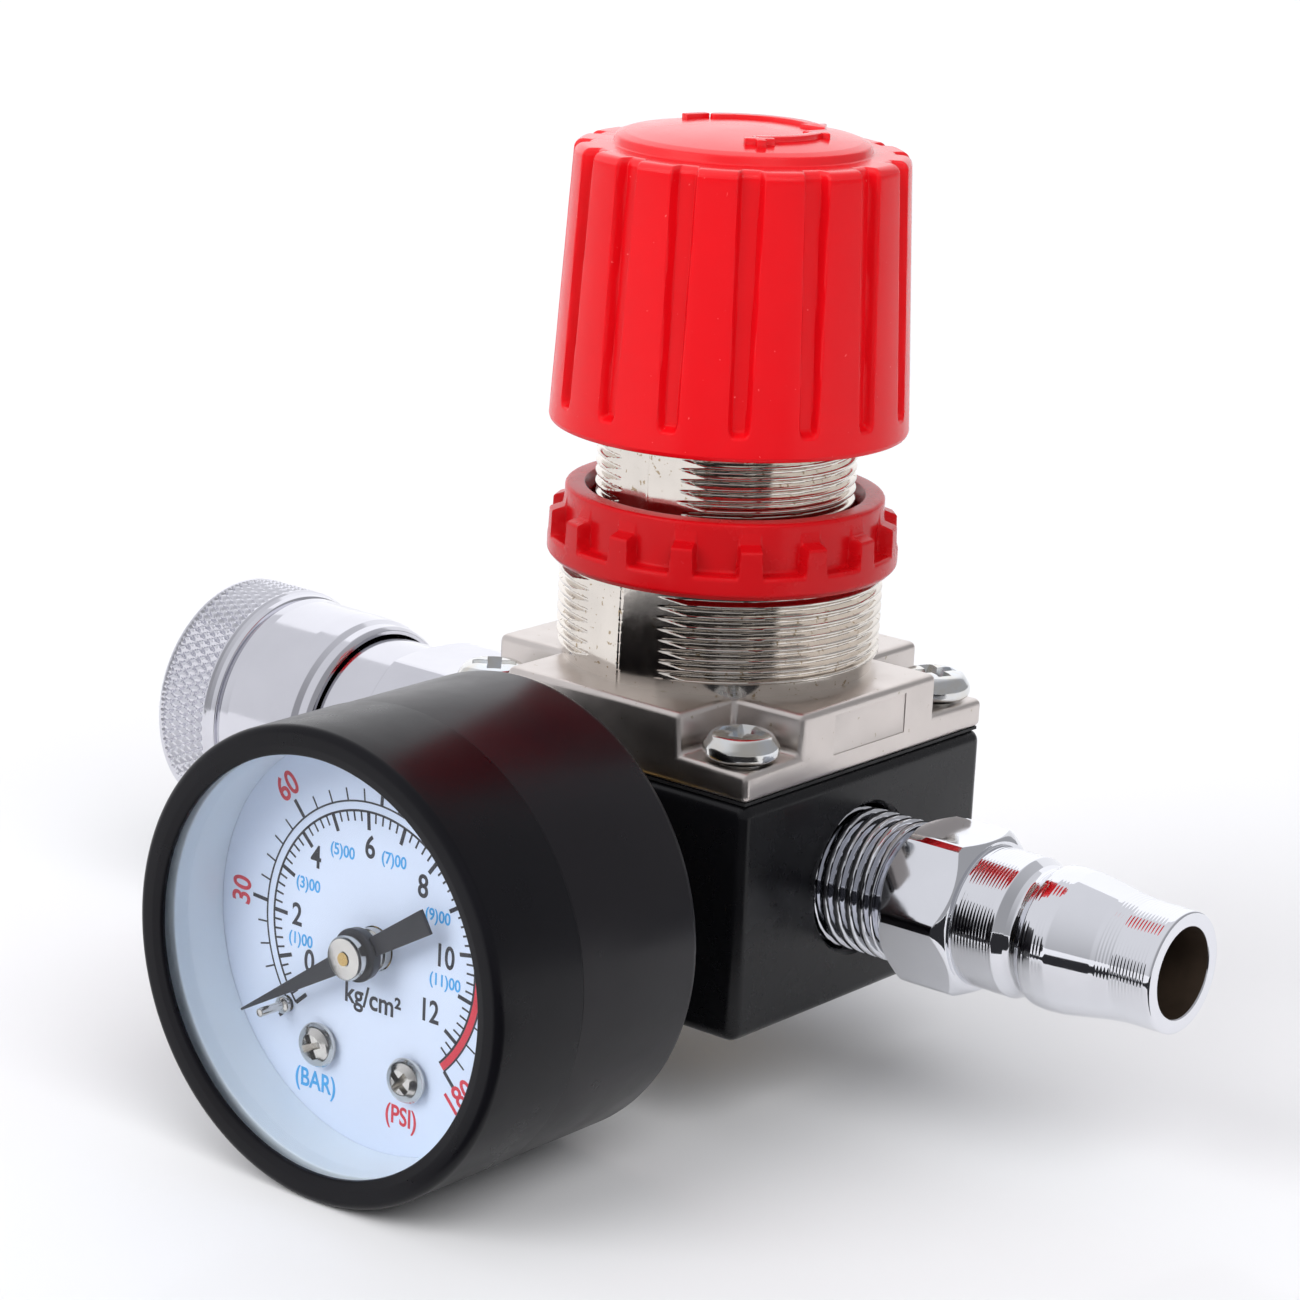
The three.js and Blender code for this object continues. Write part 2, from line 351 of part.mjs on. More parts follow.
g('pointer_stop_pin', at(turned([[0, -43.9], [0.45, -43.9], [0.45, -(DIAL_FRONT + 0.3)], [0.8, -(DIAL_FRONT + 0.3)], [0.8, -(DIAL_FRONT + 0.8)], [0.4, -(DIAL_FRONT + 1.0)], [0.4, -49.0], [0, -49.0]], 'Y', 12), PIN[0], 0, PIN[1]), STEEL);
{
  // needle: a long taper to the tip and a wide counterweight tail, on a round hub
  const L = 16.2, T = 9.2;
  const blade = plate(polygon([[0, -1.05], [L, -0.12], [L, 0.12], [0, 1.05]]), 47.5, 47.9);
  const tail = plate(polygon([[0, 0.75], [-T, 1.13], [-T, -1.13], [0, -0.75]]), 47.5, 47.9);
  const hub = turned(yy([[0, 46.4], [1.7, 46.4], [1.7, 47.2], [2.85, 47.2], [2.85, 48.3], [0, 48.3]]), 'Y', 28);
  let s = join(solid(hub), solid(blade), solid(tail));
  s = s.subtract(solid(rod(0.9, -50, -45, 'Y', 16)));
  const m = g('gauge_pointer', s, NEEDLE);
  m.rotation.y = -POINTER_REST * D;
}
g('pointer_cap', turned(closed(yy([[0.9, 48.6], [1.6, 48.6], [1.6, 49.3], [1.4, 49.5], [0.9, 49.5]])), 'Y', 12), STEEL);

// a spur gear outline: tooth 0 is centred on direction `at0`, only teeth first..last are drawn when given
function gearOutline(teeth, at0, first = 0, last = teeth - 1, thickness = 0.3) {
  const rp = MODULE_MM * teeth / 2, ra = rp + 0.2, rr = rp - 0.3, pts = [];
  const hp = thickness / 2 / rp, ha = hp * 0.55, hr = (thickness / 2 + 0.07) / rr;
  for (let i = first; i <= last; i++) {
    const c = at0 * D + 2 * Math.PI * i / teeth;
    for (const [r, o] of [[rr, -hr], [ra, -ha], [ra, ha], [rr, hr]]) pts.push([r * Math.cos(c + o), r * Math.sin(c + o)]);
  }
  return pts;
}
{
  // the pinion has a gap facing the sector's pivot
  const pinion = plate(polygon(gearOutline(PINION_TEETH, SECTOR_AT + 180 / PINION_TEETH)), 41.0, 42.4);
  let s = join(solid(pinion), solid(rod(0.6, -49.6, -38.0, 'Y', 16)));
  g('pinion_arbor', s, BRASS);
}
{
  const toCentre = SECTOR_AT - 180;
  const first = -9, last = 2, step = 360 / SECTOR_TEETH, rr = MODULE_MM * SECTOR_TEETH / 2 - 0.3;
  const rim = gearOutline(SECTOR_TEETH, toCentre, first, last);
  const a1 = (toCentre + last * step + 2.6) * D, a0 = (toCentre + first * step - 2.6) * D;
  const outline = [[rr * Math.cos(a0), rr * Math.sin(a0)], ...rim, [rr * Math.cos(a1), rr * Math.sin(a1)], [7.9 * Math.cos(a1), 7.9 * Math.sin(a1)]];
  for (let i = 1; i < 8; i++) { const a = a1 + (a0 - a1) * i / 8; outline.push([7.9 * Math.cos(a), 7.9 * Math.sin(a)]); }
  outline.push([7.9 * Math.cos(a0), 7.9 * Math.sin(a0)]);
  const arm = (dir, len, w0, w1) => { const c = Math.cos(dir * D), s = Math.sin(dir * D);
    return polygon([[w0 * s, -w0 * c], [len * c + w1 * s, len * s - w1 * c], [len * c - w1 * s, len * s + w1 * c], [-w0 * s, w0 * c]]); };
  const tailDir = 110, tailLen = 5.2;
  const tx = tailLen * Math.cos(tailDir * D), tz = tailLen * Math.sin(tailDir * D);
  let s = join(solid(plate(polygon(outline), 41.2, 42.2)), solid(plate(arm(toCentre - 13, 8.6, 1.4, 1.1), 41.2, 42.2)), solid(plate(arm(tailDir, tailLen, 1.3, 0.85), 41.2, 42.2)),
    solid(at(rod(0.95, -42.2, -41.2, 'Y', 16), tx, 0, tz)), solid(rod(1.9, -42.4, -40.9, 'Y', 20)), solid(rod(0.6, -44.3, -37.9, 'Y', 12)),
    solid(at(rod(0.4, -42.0, -39.6, 'Y', 10), tx, 0, tz)));
  const m = g('sector_gear', s, BRASS);
  m.position.set(P[0], 0, P[1]);
  // link from the sector's tail to the end of the Bourdon tube
  const ex = -14.5 - (P[0] + tx), ez = -3.9 - (P[1] + tz), el = Math.hypot(ex, ez), ux = ex / el, uz = ez / el;
  let l = join(solid(plate(polygon([[0.5 * uz, -0.5 * ux], [ex + 0.5 * uz, ez - 0.5 * ux], [ex - 0.5 * uz, ez + 0.5 * ux], [-0.5 * uz, 0.5 * ux]]), 39.9, 40.6)),
    solid(rod(1.1, -40.6, -39.9, 'Y', 14)), solid(at(rod(0.9, -40.6, -39.9, 'Y', 14), ex, 0, ez)));
  l = l.subtract(solid(rod(0.7, -41, -39, 'Y', 10)));
  const lm = g('movement_link', l, BRASS);
  lm.position.set(P[0] + tx, 0, P[1] + tz);
}
const PILLARS = [[6.5, 3.5], [8.0, -6.0], [-10.5, 4.0]];
{
  const front = polygon([[-12.6, -8.0], [-8.0, -12.6], [6.6, -12.9], [10.0, -7.5], [9.2, 4.2], [7.2, 5.6], [-11.4, 5.8], [-12.7, 4.4]]);
  g('movement_front_plate', cut(solid(plate(front, 43.8, 44.6)), hole(0, 0, 0.9, 43, 46), hole(P[0], P[1], 0.9, 43, 46), hole(...SCREW_L, 1.15, 43, 46), hole(...SCREW_R, 1.15, 43, 46), hole(...PIN, 0.75, 43, 46)), BRASS);
  const back = polygon([[-12.4, -8.2], [-6.0, -9.0], [8.6, -8.6], [10.0, -6.5], [9.2, 4.2], [7.2, 5.6], [-11.4, 5.8], [-12.7, 4.4]]);
  g('movement_back_plate', cut(solid(plate(back, 37.6, 38.4)), hole(0, 0, 0.9, 37, 39), hole(P[0], P[1], 0.9, 37, 39)), BRASS);
  PILLARS.forEach(([x, z], i) => g('movement_pillar_' + (i + 1), at(rod(1.1, -43.5, -38.7, 'Y', 14), x, 0, z), BRASS));
}
{
  // hairspring: a flat spiral round the pinion's arbor, behind the gears
  const n = 42, turns = 3.0, r0 = 1.15, r1 = 3.6, w = 0.07, inner = [], outer = [];
  for (let i = 0; i <= n; i++) {
    const t = i / n, a = 2 * Math.PI * turns * t, r = r0 + (r1 - r0) * t;
    inner.push([(r - w) * Math.cos(a), (r - w) * Math.sin(a)]);
    outer.push([(r + w) * Math.cos(a), (r + w) * Math.sin(a)]);
  }
  g('hairspring', plate(polygon([...inner, ...outer.reverse()]), 39.3, 39.7), BRASS);
}
{
  // C-shaped Bourdon tube: flattened bar, root at the bottom, free end at 195 degrees with a lug towards the movement
  const R = 15.0, a0 = -78, a1 = 195, n = 40, ring = [];
  const pts = [];
  for (let i = 0; i <= n; i++) { const a = (a0 + (a1 - a0) * i / n) * D; pts.push([(R + 0.8) * Math.cos(a), (R + 0.8) * Math.sin(a)]); }
  for (let i = n; i >= 0; i--) { const a = (a0 + (a1 - a0) * i / n) * D; pts.push([(R - 0.8) * Math.cos(a), (R - 0.8) * Math.sin(a)]); }
  const lug = box(-1.2, 1.2, -39.5, -30.5, -0.9, 0.9).translate(0, 0, 0);
  lug.rotateY(-195 * D).translate(R * Math.cos(195 * D), 0, R * Math.sin(195 * D));
  g('bourdon_tube', join(solid(plate(polygon(pts), 30.5, 35.5)), solid(lug)), BRASS);
}
{
  // socket: threaded stem, square outside the case, block inside that carries the tube and the movement
  let s = join(
    solid(turned(yy([[0, 10.0], [G18_R - 0.5, 10.0], [G18_R, 10.6], [G18_R, 21.2], [0, 21.2]]), 'Y', 24)),
    solid(turned(yy([[0, 21.0], [4.3, 21.0], [4.3, 29.0], [0, 29.0]]), 'Y', 24)),
    solid(box(-5.5, 5.5, -26.8, -21.0, -5.5, 5.5)),
    solid(box(-3.2, 3.2, -37.3, -28.2, -6.0, 4.0)),
    solid(box(-3.2, 2.6, -36.2, -28.2, -17.2, -5.0)));
  s = cut(s, solid(rod(1.4, -34, -5, 'Y', 12)));
  g('gauge_socket', s, BRASS);
}

export default regulator;
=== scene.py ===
import bpy
import math
import numpy as np
from mathutils import Matrix, Vector


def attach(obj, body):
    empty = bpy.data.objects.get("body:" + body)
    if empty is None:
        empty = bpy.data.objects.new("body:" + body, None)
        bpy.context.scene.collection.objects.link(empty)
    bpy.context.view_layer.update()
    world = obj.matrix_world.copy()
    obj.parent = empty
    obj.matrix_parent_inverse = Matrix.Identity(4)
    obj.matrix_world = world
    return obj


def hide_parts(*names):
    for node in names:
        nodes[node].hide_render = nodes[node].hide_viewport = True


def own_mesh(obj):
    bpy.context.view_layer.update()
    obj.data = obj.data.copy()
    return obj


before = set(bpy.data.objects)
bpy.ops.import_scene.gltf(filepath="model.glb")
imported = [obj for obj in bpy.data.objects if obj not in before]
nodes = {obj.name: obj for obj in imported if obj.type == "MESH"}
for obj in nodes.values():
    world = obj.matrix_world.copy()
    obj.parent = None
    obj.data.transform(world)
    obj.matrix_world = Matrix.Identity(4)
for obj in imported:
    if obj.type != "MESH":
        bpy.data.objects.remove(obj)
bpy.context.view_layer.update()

MM = 0.001
TAU = 2 * math.pi
PORT_Z, GAUGE_Z = 11.6, 11.24
P0 = (0.0, 0.0, 0.0)
PORT = (0.0, 0.0, PORT_Z)
GAUGE = (0.0, 0.0, GAUGE_Z)


# ------------------------------------------------------------------ node materials
def mapping(nt, scale=(1, 1, 1)):
    tc = nt.nodes.new("ShaderNodeTexCoord")
    mp = nt.nodes.new("ShaderNodeMapping")
    mp.inputs["Scale"].default_value = scale
    nt.links.new(tc.outputs["Object"], mp.inputs["Vector"])
    return mp.outputs["Vector"]


def noise(nt, vec, scale, detail=3.0, rough=0.55):
    n = nt.nodes.new("ShaderNodeTexNoise")
    n.inputs["Scale"].default_value = scale
    n.inputs["Detail"].default_value = detail
    n.inputs["Roughness"].default_value = rough
    nt.links.new(vec, n.inputs["Vector"])
    return n.outputs["Fac"]


def maprange(nt, fac, a, b, lo=0.3, hi=0.7):
    m = nt.nodes.new("ShaderNodeMapRange")
    m.inputs["From Min"].default_value = lo
    m.inputs["From Max"].default_value = hi
    m.inputs["To Min"].default_value = a
    m.inputs["To Max"].default_value = b
    nt.links.new(fac, m.inputs["Value"])
    return m.outputs["Result"]


def mixcol(nt, fac, a, b):
    m = nt.nodes.new("ShaderNodeMix")
    m.data_type = "RGBA"
    if isinstance(fac, float):
        m.inputs["Factor"].default_value = fac
    else:
        nt.links.new(fac, m.inputs["Factor"])
    for k, v in (("A", a), ("B", b)):
        s = [i for i in m.inputs if i.name == k and i.type == "RGBA"][0]
        if isinstance(v, tuple):
            s.default_value = (*v, 1)
        else:
            nt.links.new(v, s)
    return [o for o in m.outputs if o.type == "RGBA"][0]


def bump(nt, height, strength, distance, chain=None):
    b = nt.nodes.new("ShaderNodeBump")
    b.inputs["Strength"].default_value = strength
    b.inputs["Distance"].default_value = distance
    nt.links.new(height, b.inputs["Height"])
    if chain is not None:
        nt.links.new(chain, b.inputs["Normal"])
    return b.outputs["Normal"]


def material(name, color, rough, metal=0.0, shade=0.12, rvar=0.05, blotch=250.0, grain=2500.0, grain_mm=0.002, wave=None,
             coat=0.0, coat_rough=0.1, spec=0.5, scratch=0.0, tint=None, edge=None, speck=None, ior=None):
    """Principled with its colour, roughness and relief driven by noise in the object's own frame."""
    m = bpy.data.materials.new(name)
    m.use_nodes = True
    nt = m.node_tree
    p = nt.nodes["Principled BSDF"]
    vec = mapping(nt)
    big, fine = noise(nt, vec, blotch), noise(nt, vec, grain, 2.0)
    dark = tuple(c * (1 - shade) for c in (tint or color))
    col = mixcol(nt, maprange(nt, big, 0.0, 1.0), dark, color)
    if edge is not None:                       # worn or brighter edges
        g = nt.nodes.new("ShaderNodeNewGeometry")
        e = maprange(nt, g.outputs["Pointiness"], 0.0, edge[0], 0.52, 0.62)
        col = mixcol(nt, e, col, edge[1])
    if speck is not None:                      # sparse specks of another colour
        s = maprange(nt, noise(nt, vec, speck[0], 2.0), 0.0, 1.0, speck[1], speck[1] + 0.03)
        col = mixcol(nt, s, col, speck[2])
    nt.links.new(col, p.inputs["Base Color"])
    r = maprange(nt, noise(nt, vec, blotch * 2.3, 4.0), max(0.01, rough - rvar), rough + rvar)
    if scratch:
        sv = mapping(nt, (1, 1, 30))
        sc = maprange(nt, noise(nt, sv, 900.0, 3.0), 0.0, scratch, 0.58, 0.72)
        add = nt.nodes.new("ShaderNodeMath")
        add.operation = "ADD"
        nt.links.new(r, add.inputs[0])
        nt.links.new(sc, add.inputs[1])
        r = add.outputs[0]
    nt.links.new(r, p.inputs["Roughness"])
    p.inputs["Metallic"].default_value = metal
    p.inputs["Specular IOR Level"].default_value = spec
    if ior is not None:
        p.inputs["IOR"].default_value = ior
    p.inputs["Coat Weight"].default_value = coat
    p.inputs["Coat Roughness"].default_value = coat_rough
    n = bump(nt, fine, 1.0, grain_mm * MM)
    if wave is not None:
        n = bump(nt, noise(nt, vec, wave[0], 2.0, 0.4), 1.0, wave[1] * MM, n)
    nt.links.new(n, p.inputs["Normal"])
    return m


RED = material("red_moulded_plastic", (0.70, 0.0035, 0.008), 0.24, shade=0.05, rvar=0.03, blotch=140, grain=2600, grain_mm=0.0012, wave=(260, 0.012), spec=0.22,
               speck=(2200.0, 0.74, (0.8, 0.12, 0.12)))
RED_RING = material("red_ring_plastic", (0.49, 0.0026, 0.0055), 0.26, shade=0.05, rvar=0.03, blotch=140, grain=2600, grain_mm=0.0012, wave=(260, 0.010), spec=0.22)
RED_CAP = material("red_polished_plastic", (0.72, 0.006, 0.011), 0.20, shade=0.05, rvar=0.03, blotch=140, grain=2600, grain_mm=0.0010, wave=(240, 0.010), spec=0.62)
NICKEL = material("cast_nickel_plate", (0.70, 0.645, 0.61), 0.33, 1.0, shade=0.06, rvar=0.05, blotch=180, grain=1300, grain_mm=0.0050, wave=(420, 0.008),
                  speck=(1500.0, 0.70, (0.50, 0.44, 0.36)))
NICKEL_T = material("threaded_nickel_plate", (0.78, 0.725, 0.66), 0.13, 1.0, shade=0.10, rvar=0.05, blotch=260, grain=1800, grain_mm=0.003,
                    speck=(1900.0, 0.66, (0.42, 0.33, 0.22)))
CHROME = material("bright_chrome", (0.80, 0.81, 0.85), 0.055, 1.0, shade=0.03, rvar=0.02, blotch=220, grain=1400, grain_mm=0.0006, wave=(300, 0.002), scratch=0.03)
CHROME_S = material("coupler_chrome", (0.71, 0.71, 0.76), 0.11, 1.0, shade=0.04, rvar=0.03, blotch=220, grain=1400, grain_mm=0.0010, scratch=0.04)
ZINC = material("bluish_zinc_plate", (0.74, 0.79, 0.86), 0.16, 1.0, shade=0.08, rvar=0.06, blotch=380, grain=1500, grain_mm=0.002, tint=(0.80, 0.77, 0.70))
STEEL = material("bright_steel", (0.60, 0.59, 0.57), 0.22, 1.0, shade=0.12, rvar=0.06, blotch=300, grain=2000, grain_mm=0.001, scratch=0.08)
SCREW = material("nickel_screw_steel", (0.74, 0.71, 0.66), 0.16, 1.0, shade=0.12, rvar=0.05, blotch=600, grain=2400, grain_mm=0.0015)
PAINT = material("black_gloss_paint", (0.0045, 0.0045, 0.0055), 0.27, shade=0.25, rvar=0.05, blotch=120, grain=1300, grain_mm=0.0016, wave=(200, 0.004), spec=0.28)
ENAMEL = material("black_satin_enamel", (0.0068, 0.0058, 0.0078), 0.31, shade=0.2, rvar=0.04, blotch=90, grain=2200, grain_mm=0.0022, wave=(200, 0.006), spec=0.27)
ENAMEL_F = material("bezel_satin_enamel", (0.0045, 0.0043, 0.0060), 0.30, shade=0.2, rvar=0.04, blotch=90, grain=2200, grain_mm=0.0026, wave=(200, 0.004), spec=0.16)
DIAL = material("printed_dial_face", (0.74, 0.82, 0.97), 0.42, shade=0.03, rvar=0.06, blotch=90, grain=1500, grain_mm=0.0008)
RINGW = material("white_moulded_ring", (0.86, 0.94, 1.0), 0.40, shade=0.05, rvar=0.06, blotch=120, grain=1600, grain_mm=0.0012)
INK_K = material("black_print", (0.030, 0.030, 0.040), 0.45, shade=0.2, blotch=900, grain=3000, grain_mm=0.0006)
INK_R = material("red_print", (0.72, 0.035, 0.060), 0.45, shade=0.12, blotch=900, grain=3000, grain_mm=0.0006)
INK_B = material("blue_print", (0.06, 0.42, 0.86), 0.45, shade=0.12, blotch=900, grain=3000, grain_mm=0.0006)
NEEDLE = material("needle_black", (0.020, 0.020, 0.026), 0.38, shade=0.2, blotch=400, grain=2200, grain_mm=0.001)
BRASS = material("plain_brass", (0.72, 0.50, 0.20), 0.24, 1.0, shade=0.14, rvar=0.07, blotch=260, grain=2000, grain_mm=0.002, scratch=0.10)
SPRINGB = material("bronze_spring_strip", (0.66, 0.42, 0.20), 0.30, 1.0, shade=0.16, rvar=0.06, blotch=400, grain=2200, grain_mm=0.001)
TUBEB = material("annealed_brass_tube", (0.64, 0.44, 0.18), 0.36, 1.0, shade=0.22, rvar=0.08, blotch=220, grain=1600, grain_mm=0.002, tint=(0.60, 0.36, 0.16))
RUBBER = material("nitrile_rubber", (0.012, 0.012, 0.013), 0.62, shade=0.3, rvar=0.08, blotch=300, grain=1500, grain_mm=0.006)


def glass():
    m = bpy.data.materials.new("clear_window")
    m.use_nodes = True
    nt = m.node_tree
    out = nt.nodes["Material Output"]
    nt.nodes.remove(nt.nodes["Principled BSDF"])
    tr, gl = nt.nodes.new("ShaderNodeBsdfTransparent"), nt.nodes.new("ShaderNodeBsdfGlossy")
    tr.inputs["Color"].default_value = (0.985, 0.992, 1.0, 1)
    vec = mapping(nt)
    nt.links.new(maprange(nt, noise(nt, vec, 180.0), 0.02, 0.03), gl.inputs["Roughness"])
    nt.links.new(bump(nt, noise(nt, vec, 70.0, 1.0), 1.0, 0.002 * MM), gl.inputs["Normal"])
    fr = nt.nodes.new("ShaderNodeFresnel")
    fr.inputs["IOR"].default_value = 1.20
    mx = nt.nodes.new("ShaderNodeMixShader")
    nt.links.new(fr.outputs["Fac"], mx.inputs["Fac"])
    nt.links.new(tr.outputs["BSDF"], mx.inputs[1])
    nt.links.new(gl.outputs["BSDF"], mx.inputs[2])
    nt.links.new(mx.outputs["Shader"], out.inputs["Surface"])
    return m


GLASS = glass()


# ------------------------------------------------------------------ mesh tools (millimetres in, metres out)
def fillet(pts, n=4, closed=False, r=0.0):
    """A profile of (radius, station[, corner radius]) with its corners rounded."""
    pts = [tuple(p) if len(p) == 3 else (p[0], p[1], r) for p in pts]
    out, c = [], len(pts)
    for i, (x, y, f) in enumerate(pts):
        p1 = np.array([x, y], float)
        if f <= 0 or (not closed and i in (0, c - 1)):
            out.append(p1)
            continue
        a, b = np.array(pts[i - 1][:2], float) - p1, np.array(pts[(i + 1) % c][:2], float) - p1
        la, lb = np.linalg.norm(a), np.linalg.norm(b)
        a, b = a / la, b / lb
        phi = math.acos(max(-1, min(1, float(a @ b))))
        if phi > math.pi - 0.05:
            out.append(p1)
            continue
        t = min(f / math.tan(phi / 2), 0.46 * la, 0.46 * lb)
        rad = t * math.tan(phi / 2)
        cen = p1 + (a + b) / np.linalg.norm(a + b) * rad / math.sin(phi / 2)
        s, e = p1 + a * t - cen, p1 + b * t - cen
        w = math.acos(max(-1, min(1, float(s @ e) / rad / rad)))
        for k in range(n + 1):
            u = k / n
            out.append(cen + (math.sin((1 - u) * w) * s + math.sin(u * w) * e) / math.sin(w))
    return np.array(out)


def dense(path, step):
    out = [path[0]]
    for p, q in zip(path[:-1], path[1:]):
        k = max(1, int(math.ceil(np.linalg.norm(q - p) / step)))
        out += [p + (q - p) * i / k for i in range(1, k + 1)]
    return np.array(out)


def resample(path, n):
    path = np.array(path, float)
    d = np.r_[0, np.cumsum(np.linalg.norm(np.diff(path, axis=0), axis=1))]
    t = np.linspace(0, d[-1], n)
    return np.stack([np.interp(t, d, path[:, k]) for k in (0, 1)], 1)


def place(r, h, th, axis, c):
    co, si = np.cos(th), np.sin(th)
    if axis == "Z":
        return np.stack([c[0] + r * co, c[1] + r * si, c[2] + h], -1)
    if axis == "X":
        return np.stack([c[0] + h, c[1] + r * co, c[2] + r * si], -1)
    if axis == "-X":
        return np.stack([c[0] - h, c[1] + r * co, c[2] + r * si], -1)
    if axis == "-Y":
        return np.stack([c[0] + r * co, c[1] - h, c[2] + r * si], -1)
    if axis == "Y":
        return np.stack([c[0] + r * co, c[1] + h, c[2] + r * si], -1)
    raise ValueError(axis)


def mesh_object(name, verts, quads, tris=(), scale=MM):
    verts = np.asarray(verts, float)
    quads = np.asarray(quads, np.int64).reshape(-1, 4)
    tris = np.asarray(tris, np.int64).reshape(-1, 3)
    t = np.concatenate([quads[:, [0, 1, 2]], quads[:, [0, 2, 3]], tris])
    a, b, c = verts[t[:, 0]], verts[t[:, 1]], verts[t[:, 2]]
    if np.einsum("ij,ij->", a, np.cross(b, c)) < 0:
        quads, tris = quads[:, ::-1], tris[:, ::-1]
    me = bpy.data.meshes.new(name)
    me.vertices.add(len(verts))
    me.vertices.foreach_set("co", (verts * scale).astype(np.float32).ravel())
    loops = np.concatenate([quads.ravel(), tris.ravel()])
    me.loops.add(len(loops))
    me.loops.foreach_set("vertex_index", loops.astype(np.int32))
    starts = np.concatenate([np.arange(len(quads)) * 4, len(quads) * 4 + np.arange(len(tris)) * 3])
    me.polygons.add(len(starts))
    me.polygons.foreach_set("loop_start", starts.astype(np.int32))
    me.update(calc_edges=True)
    me.validate()
    o = bpy.data.objects.new(name, me)
    bpy.context.scene.collection.objects.link(o)
    return o


def surface(name, r, h, th, axis, c=P0, ends="loop"):
    """A closed skin from radius and station grids (around, along). ends is 'loop' where the profile closes on itself
    and 'axis' where it starts and ends on the axis."""
    nu, nv = r.shape
    pts = place(r, h, th[:, None], axis, c)
    if ends == "loop":
        idx = np.arange(nu * nv).reshape(nu, nv)
        i, j = np.meshgrid(np.arange(nu), np.arange(nv), indexing="ij")
        a, b = idx[i, j], idx[(i + 1) % nu, j]
        d, e = idx[i, (j + 1) % nv], idx[(i + 1) % nu, (j + 1) % nv]
        return mesh_object(name, pts.reshape(-1, 3), np.stack([a, b, e, d], -1).reshape(-1, 4))
    inner = pts[:, 1:-1]
    verts = np.concatenate([inner.reshape(-1, 3), pts[0, :1], pts[0, -1:]])
    m = nv - 2
    idx = np.arange(nu * m).reshape(nu, m)
    i, j = np.meshgrid(np.arange(nu), np.arange(m - 1), indexing="ij")
    quads = np.stack([idx[i, j], idx[(i + 1) % nu, j], idx[(i + 1) % nu, j + 1], idx[i, j + 1]], -1).reshape(-1, 4)
    u = np.arange(nu)
    s, e = nu * m, nu * m + 1
    tris = np.concatenate([np.stack([np.full(nu, s), idx[(u + 1) % nu, 0], idx[u, 0]], -1), np.stack([np.full(nu, e), idx[u, -1], idx[(u + 1) % nu, -1]], -1)])
    return mesh_object(name, verts, quads, tris)


def around(n, extra=()):
    return np.array(sorted(set(np.round(np.concatenate([np.arange(n) * TAU / n, np.array(extra, float) % TAU]), 6))))


def turned(name, profile, axis, c=P0, seg=96, n=4, r=0.0, loop=None):
    """A turned solid. The profile closes on itself unless it starts and ends on the axis."""
    loop = loop if loop is not None else not (profile[0][0] == 0 and profile[-1][0] == 0)
    path = fillet(profile, n, closed=loop, r=r)
    th = around(seg)
    rr = np.repeat(path[None, :, 0], len(th), 0)
    hh = np.repeat(path[None, :, 1], len(th), 0)
    return surface(name, rr, hh, th, axis, c, "loop" if loop else "axis")


def rod(name, r, h0, h1, axis, c=P0, seg=48, bevel=0.0):
    return turned(name, [(0, h0), (r, h0, bevel), (r, h1, bevel), (0, h1)], axis, c, seg, 3)


def prism(name, outline, lo, hi, plane="XY", c=P0):
    """A flat outline extruded between two heights. plane XY rises along Z; XZ is drawn seen from the dial side and comes forward along -Y."""
    n = len(outline)
    o = np.array(outline, float)
    if plane == "XY":
        v = np.concatenate([np.c_[o, np.full(n, lo)], np.c_[o, np.full(n, hi)]])
    elif plane == "XZ":
        v = np.concatenate([np.c_[o[:, 0], np.full(n, -lo), o[:, 1]], np.c_[o[:, 0], np.full(n, -hi), o[:, 1]]])
    v = v + np.array(c)
    ob = mesh_object(name, v, [[i, (i + 1) % n, n + (i + 1) % n, n + i] for i in range(n)])
    import bmesh
    bm = bmesh.new()
    bm.from_mesh(ob.data)
    bm.verts.ensure_lookup_table()
    bm.faces.new([bm.verts[i] for i in range(n)])
    bm.faces.new([bm.verts[n + i] for i in range(n)])
    bmesh.ops.recalc_face_normals(bm, faces=bm.faces)
    bm.to_mesh(ob.data)
    bm.free()
    return ob


def block(name, x0, x1, y0, y1, z0, z1):
    return prism(name, [(x0, y0), (x1, y0), (x1, y1), (x0, y1)], z0, z1)


def applied(o):
    bpy.context.view_layer.update()
    me = bpy.data.meshes.new_from_object(o.evaluated_get(bpy.context.evaluated_depsgraph_get()))
    old = o.data
    o.modifiers.clear()
    o.data = me
    me.name = o.name
    bpy.data.meshes.remove(old)
    return o


def bevelled(o, width, segments=3, angle=30):
    m = o.modifiers.new("edge", "BEVEL")
    m.width = width * MM
    m.segments = segments
    m.limit_method = "ANGLE"
    m.angle_limit = math.radians(angle)
    m.harden_normals = False
    return applied(o)


def boolean(a, b, op="DIFFERENCE"):
    m = a.modifiers.new("cut", "BOOLEAN")
    m.operation = op
    m.object = b
    m.solver = "MANIFOLD"
    before = len(a.data.vertices)
    applied(a)
    if len(a.data.vertices) == 0:
        raise RuntimeError("empty boolean on " + a.name + " from " + str(before))
    bpy.data.objects.remove(b)
    return a


def finish_piece(o, mat, body="root", node=None, sharp=32):
    me = o.data
    me.materials.clear()
    me.materials.append(mat)
    me.polygons.foreach_set("use_smooth", np.ones(len(me.polygons), bool))
    me.set_sharp_from_angle(angle=math.radians(sharp))
    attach(o, body)
    if node:
        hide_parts(*([node] if isinstance(node, str) else node))
    return o


def smooth(x):
    x = np.clip(x, 0, 1)
    return x * x * (3 - 2 * x)


def thread(th, h, major, depth, pitch, hand=1):
    """Radius of a single-start 60 degree thread with flat crests and rounded roots."""
    p = (h / pitch - hand * th / TAU) % 1.0
    t = np.abs(2 * p - 1)                       # 0 at the crest, 1 at the root
    return major - depth * smooth((t - 0.10) / 0.78)


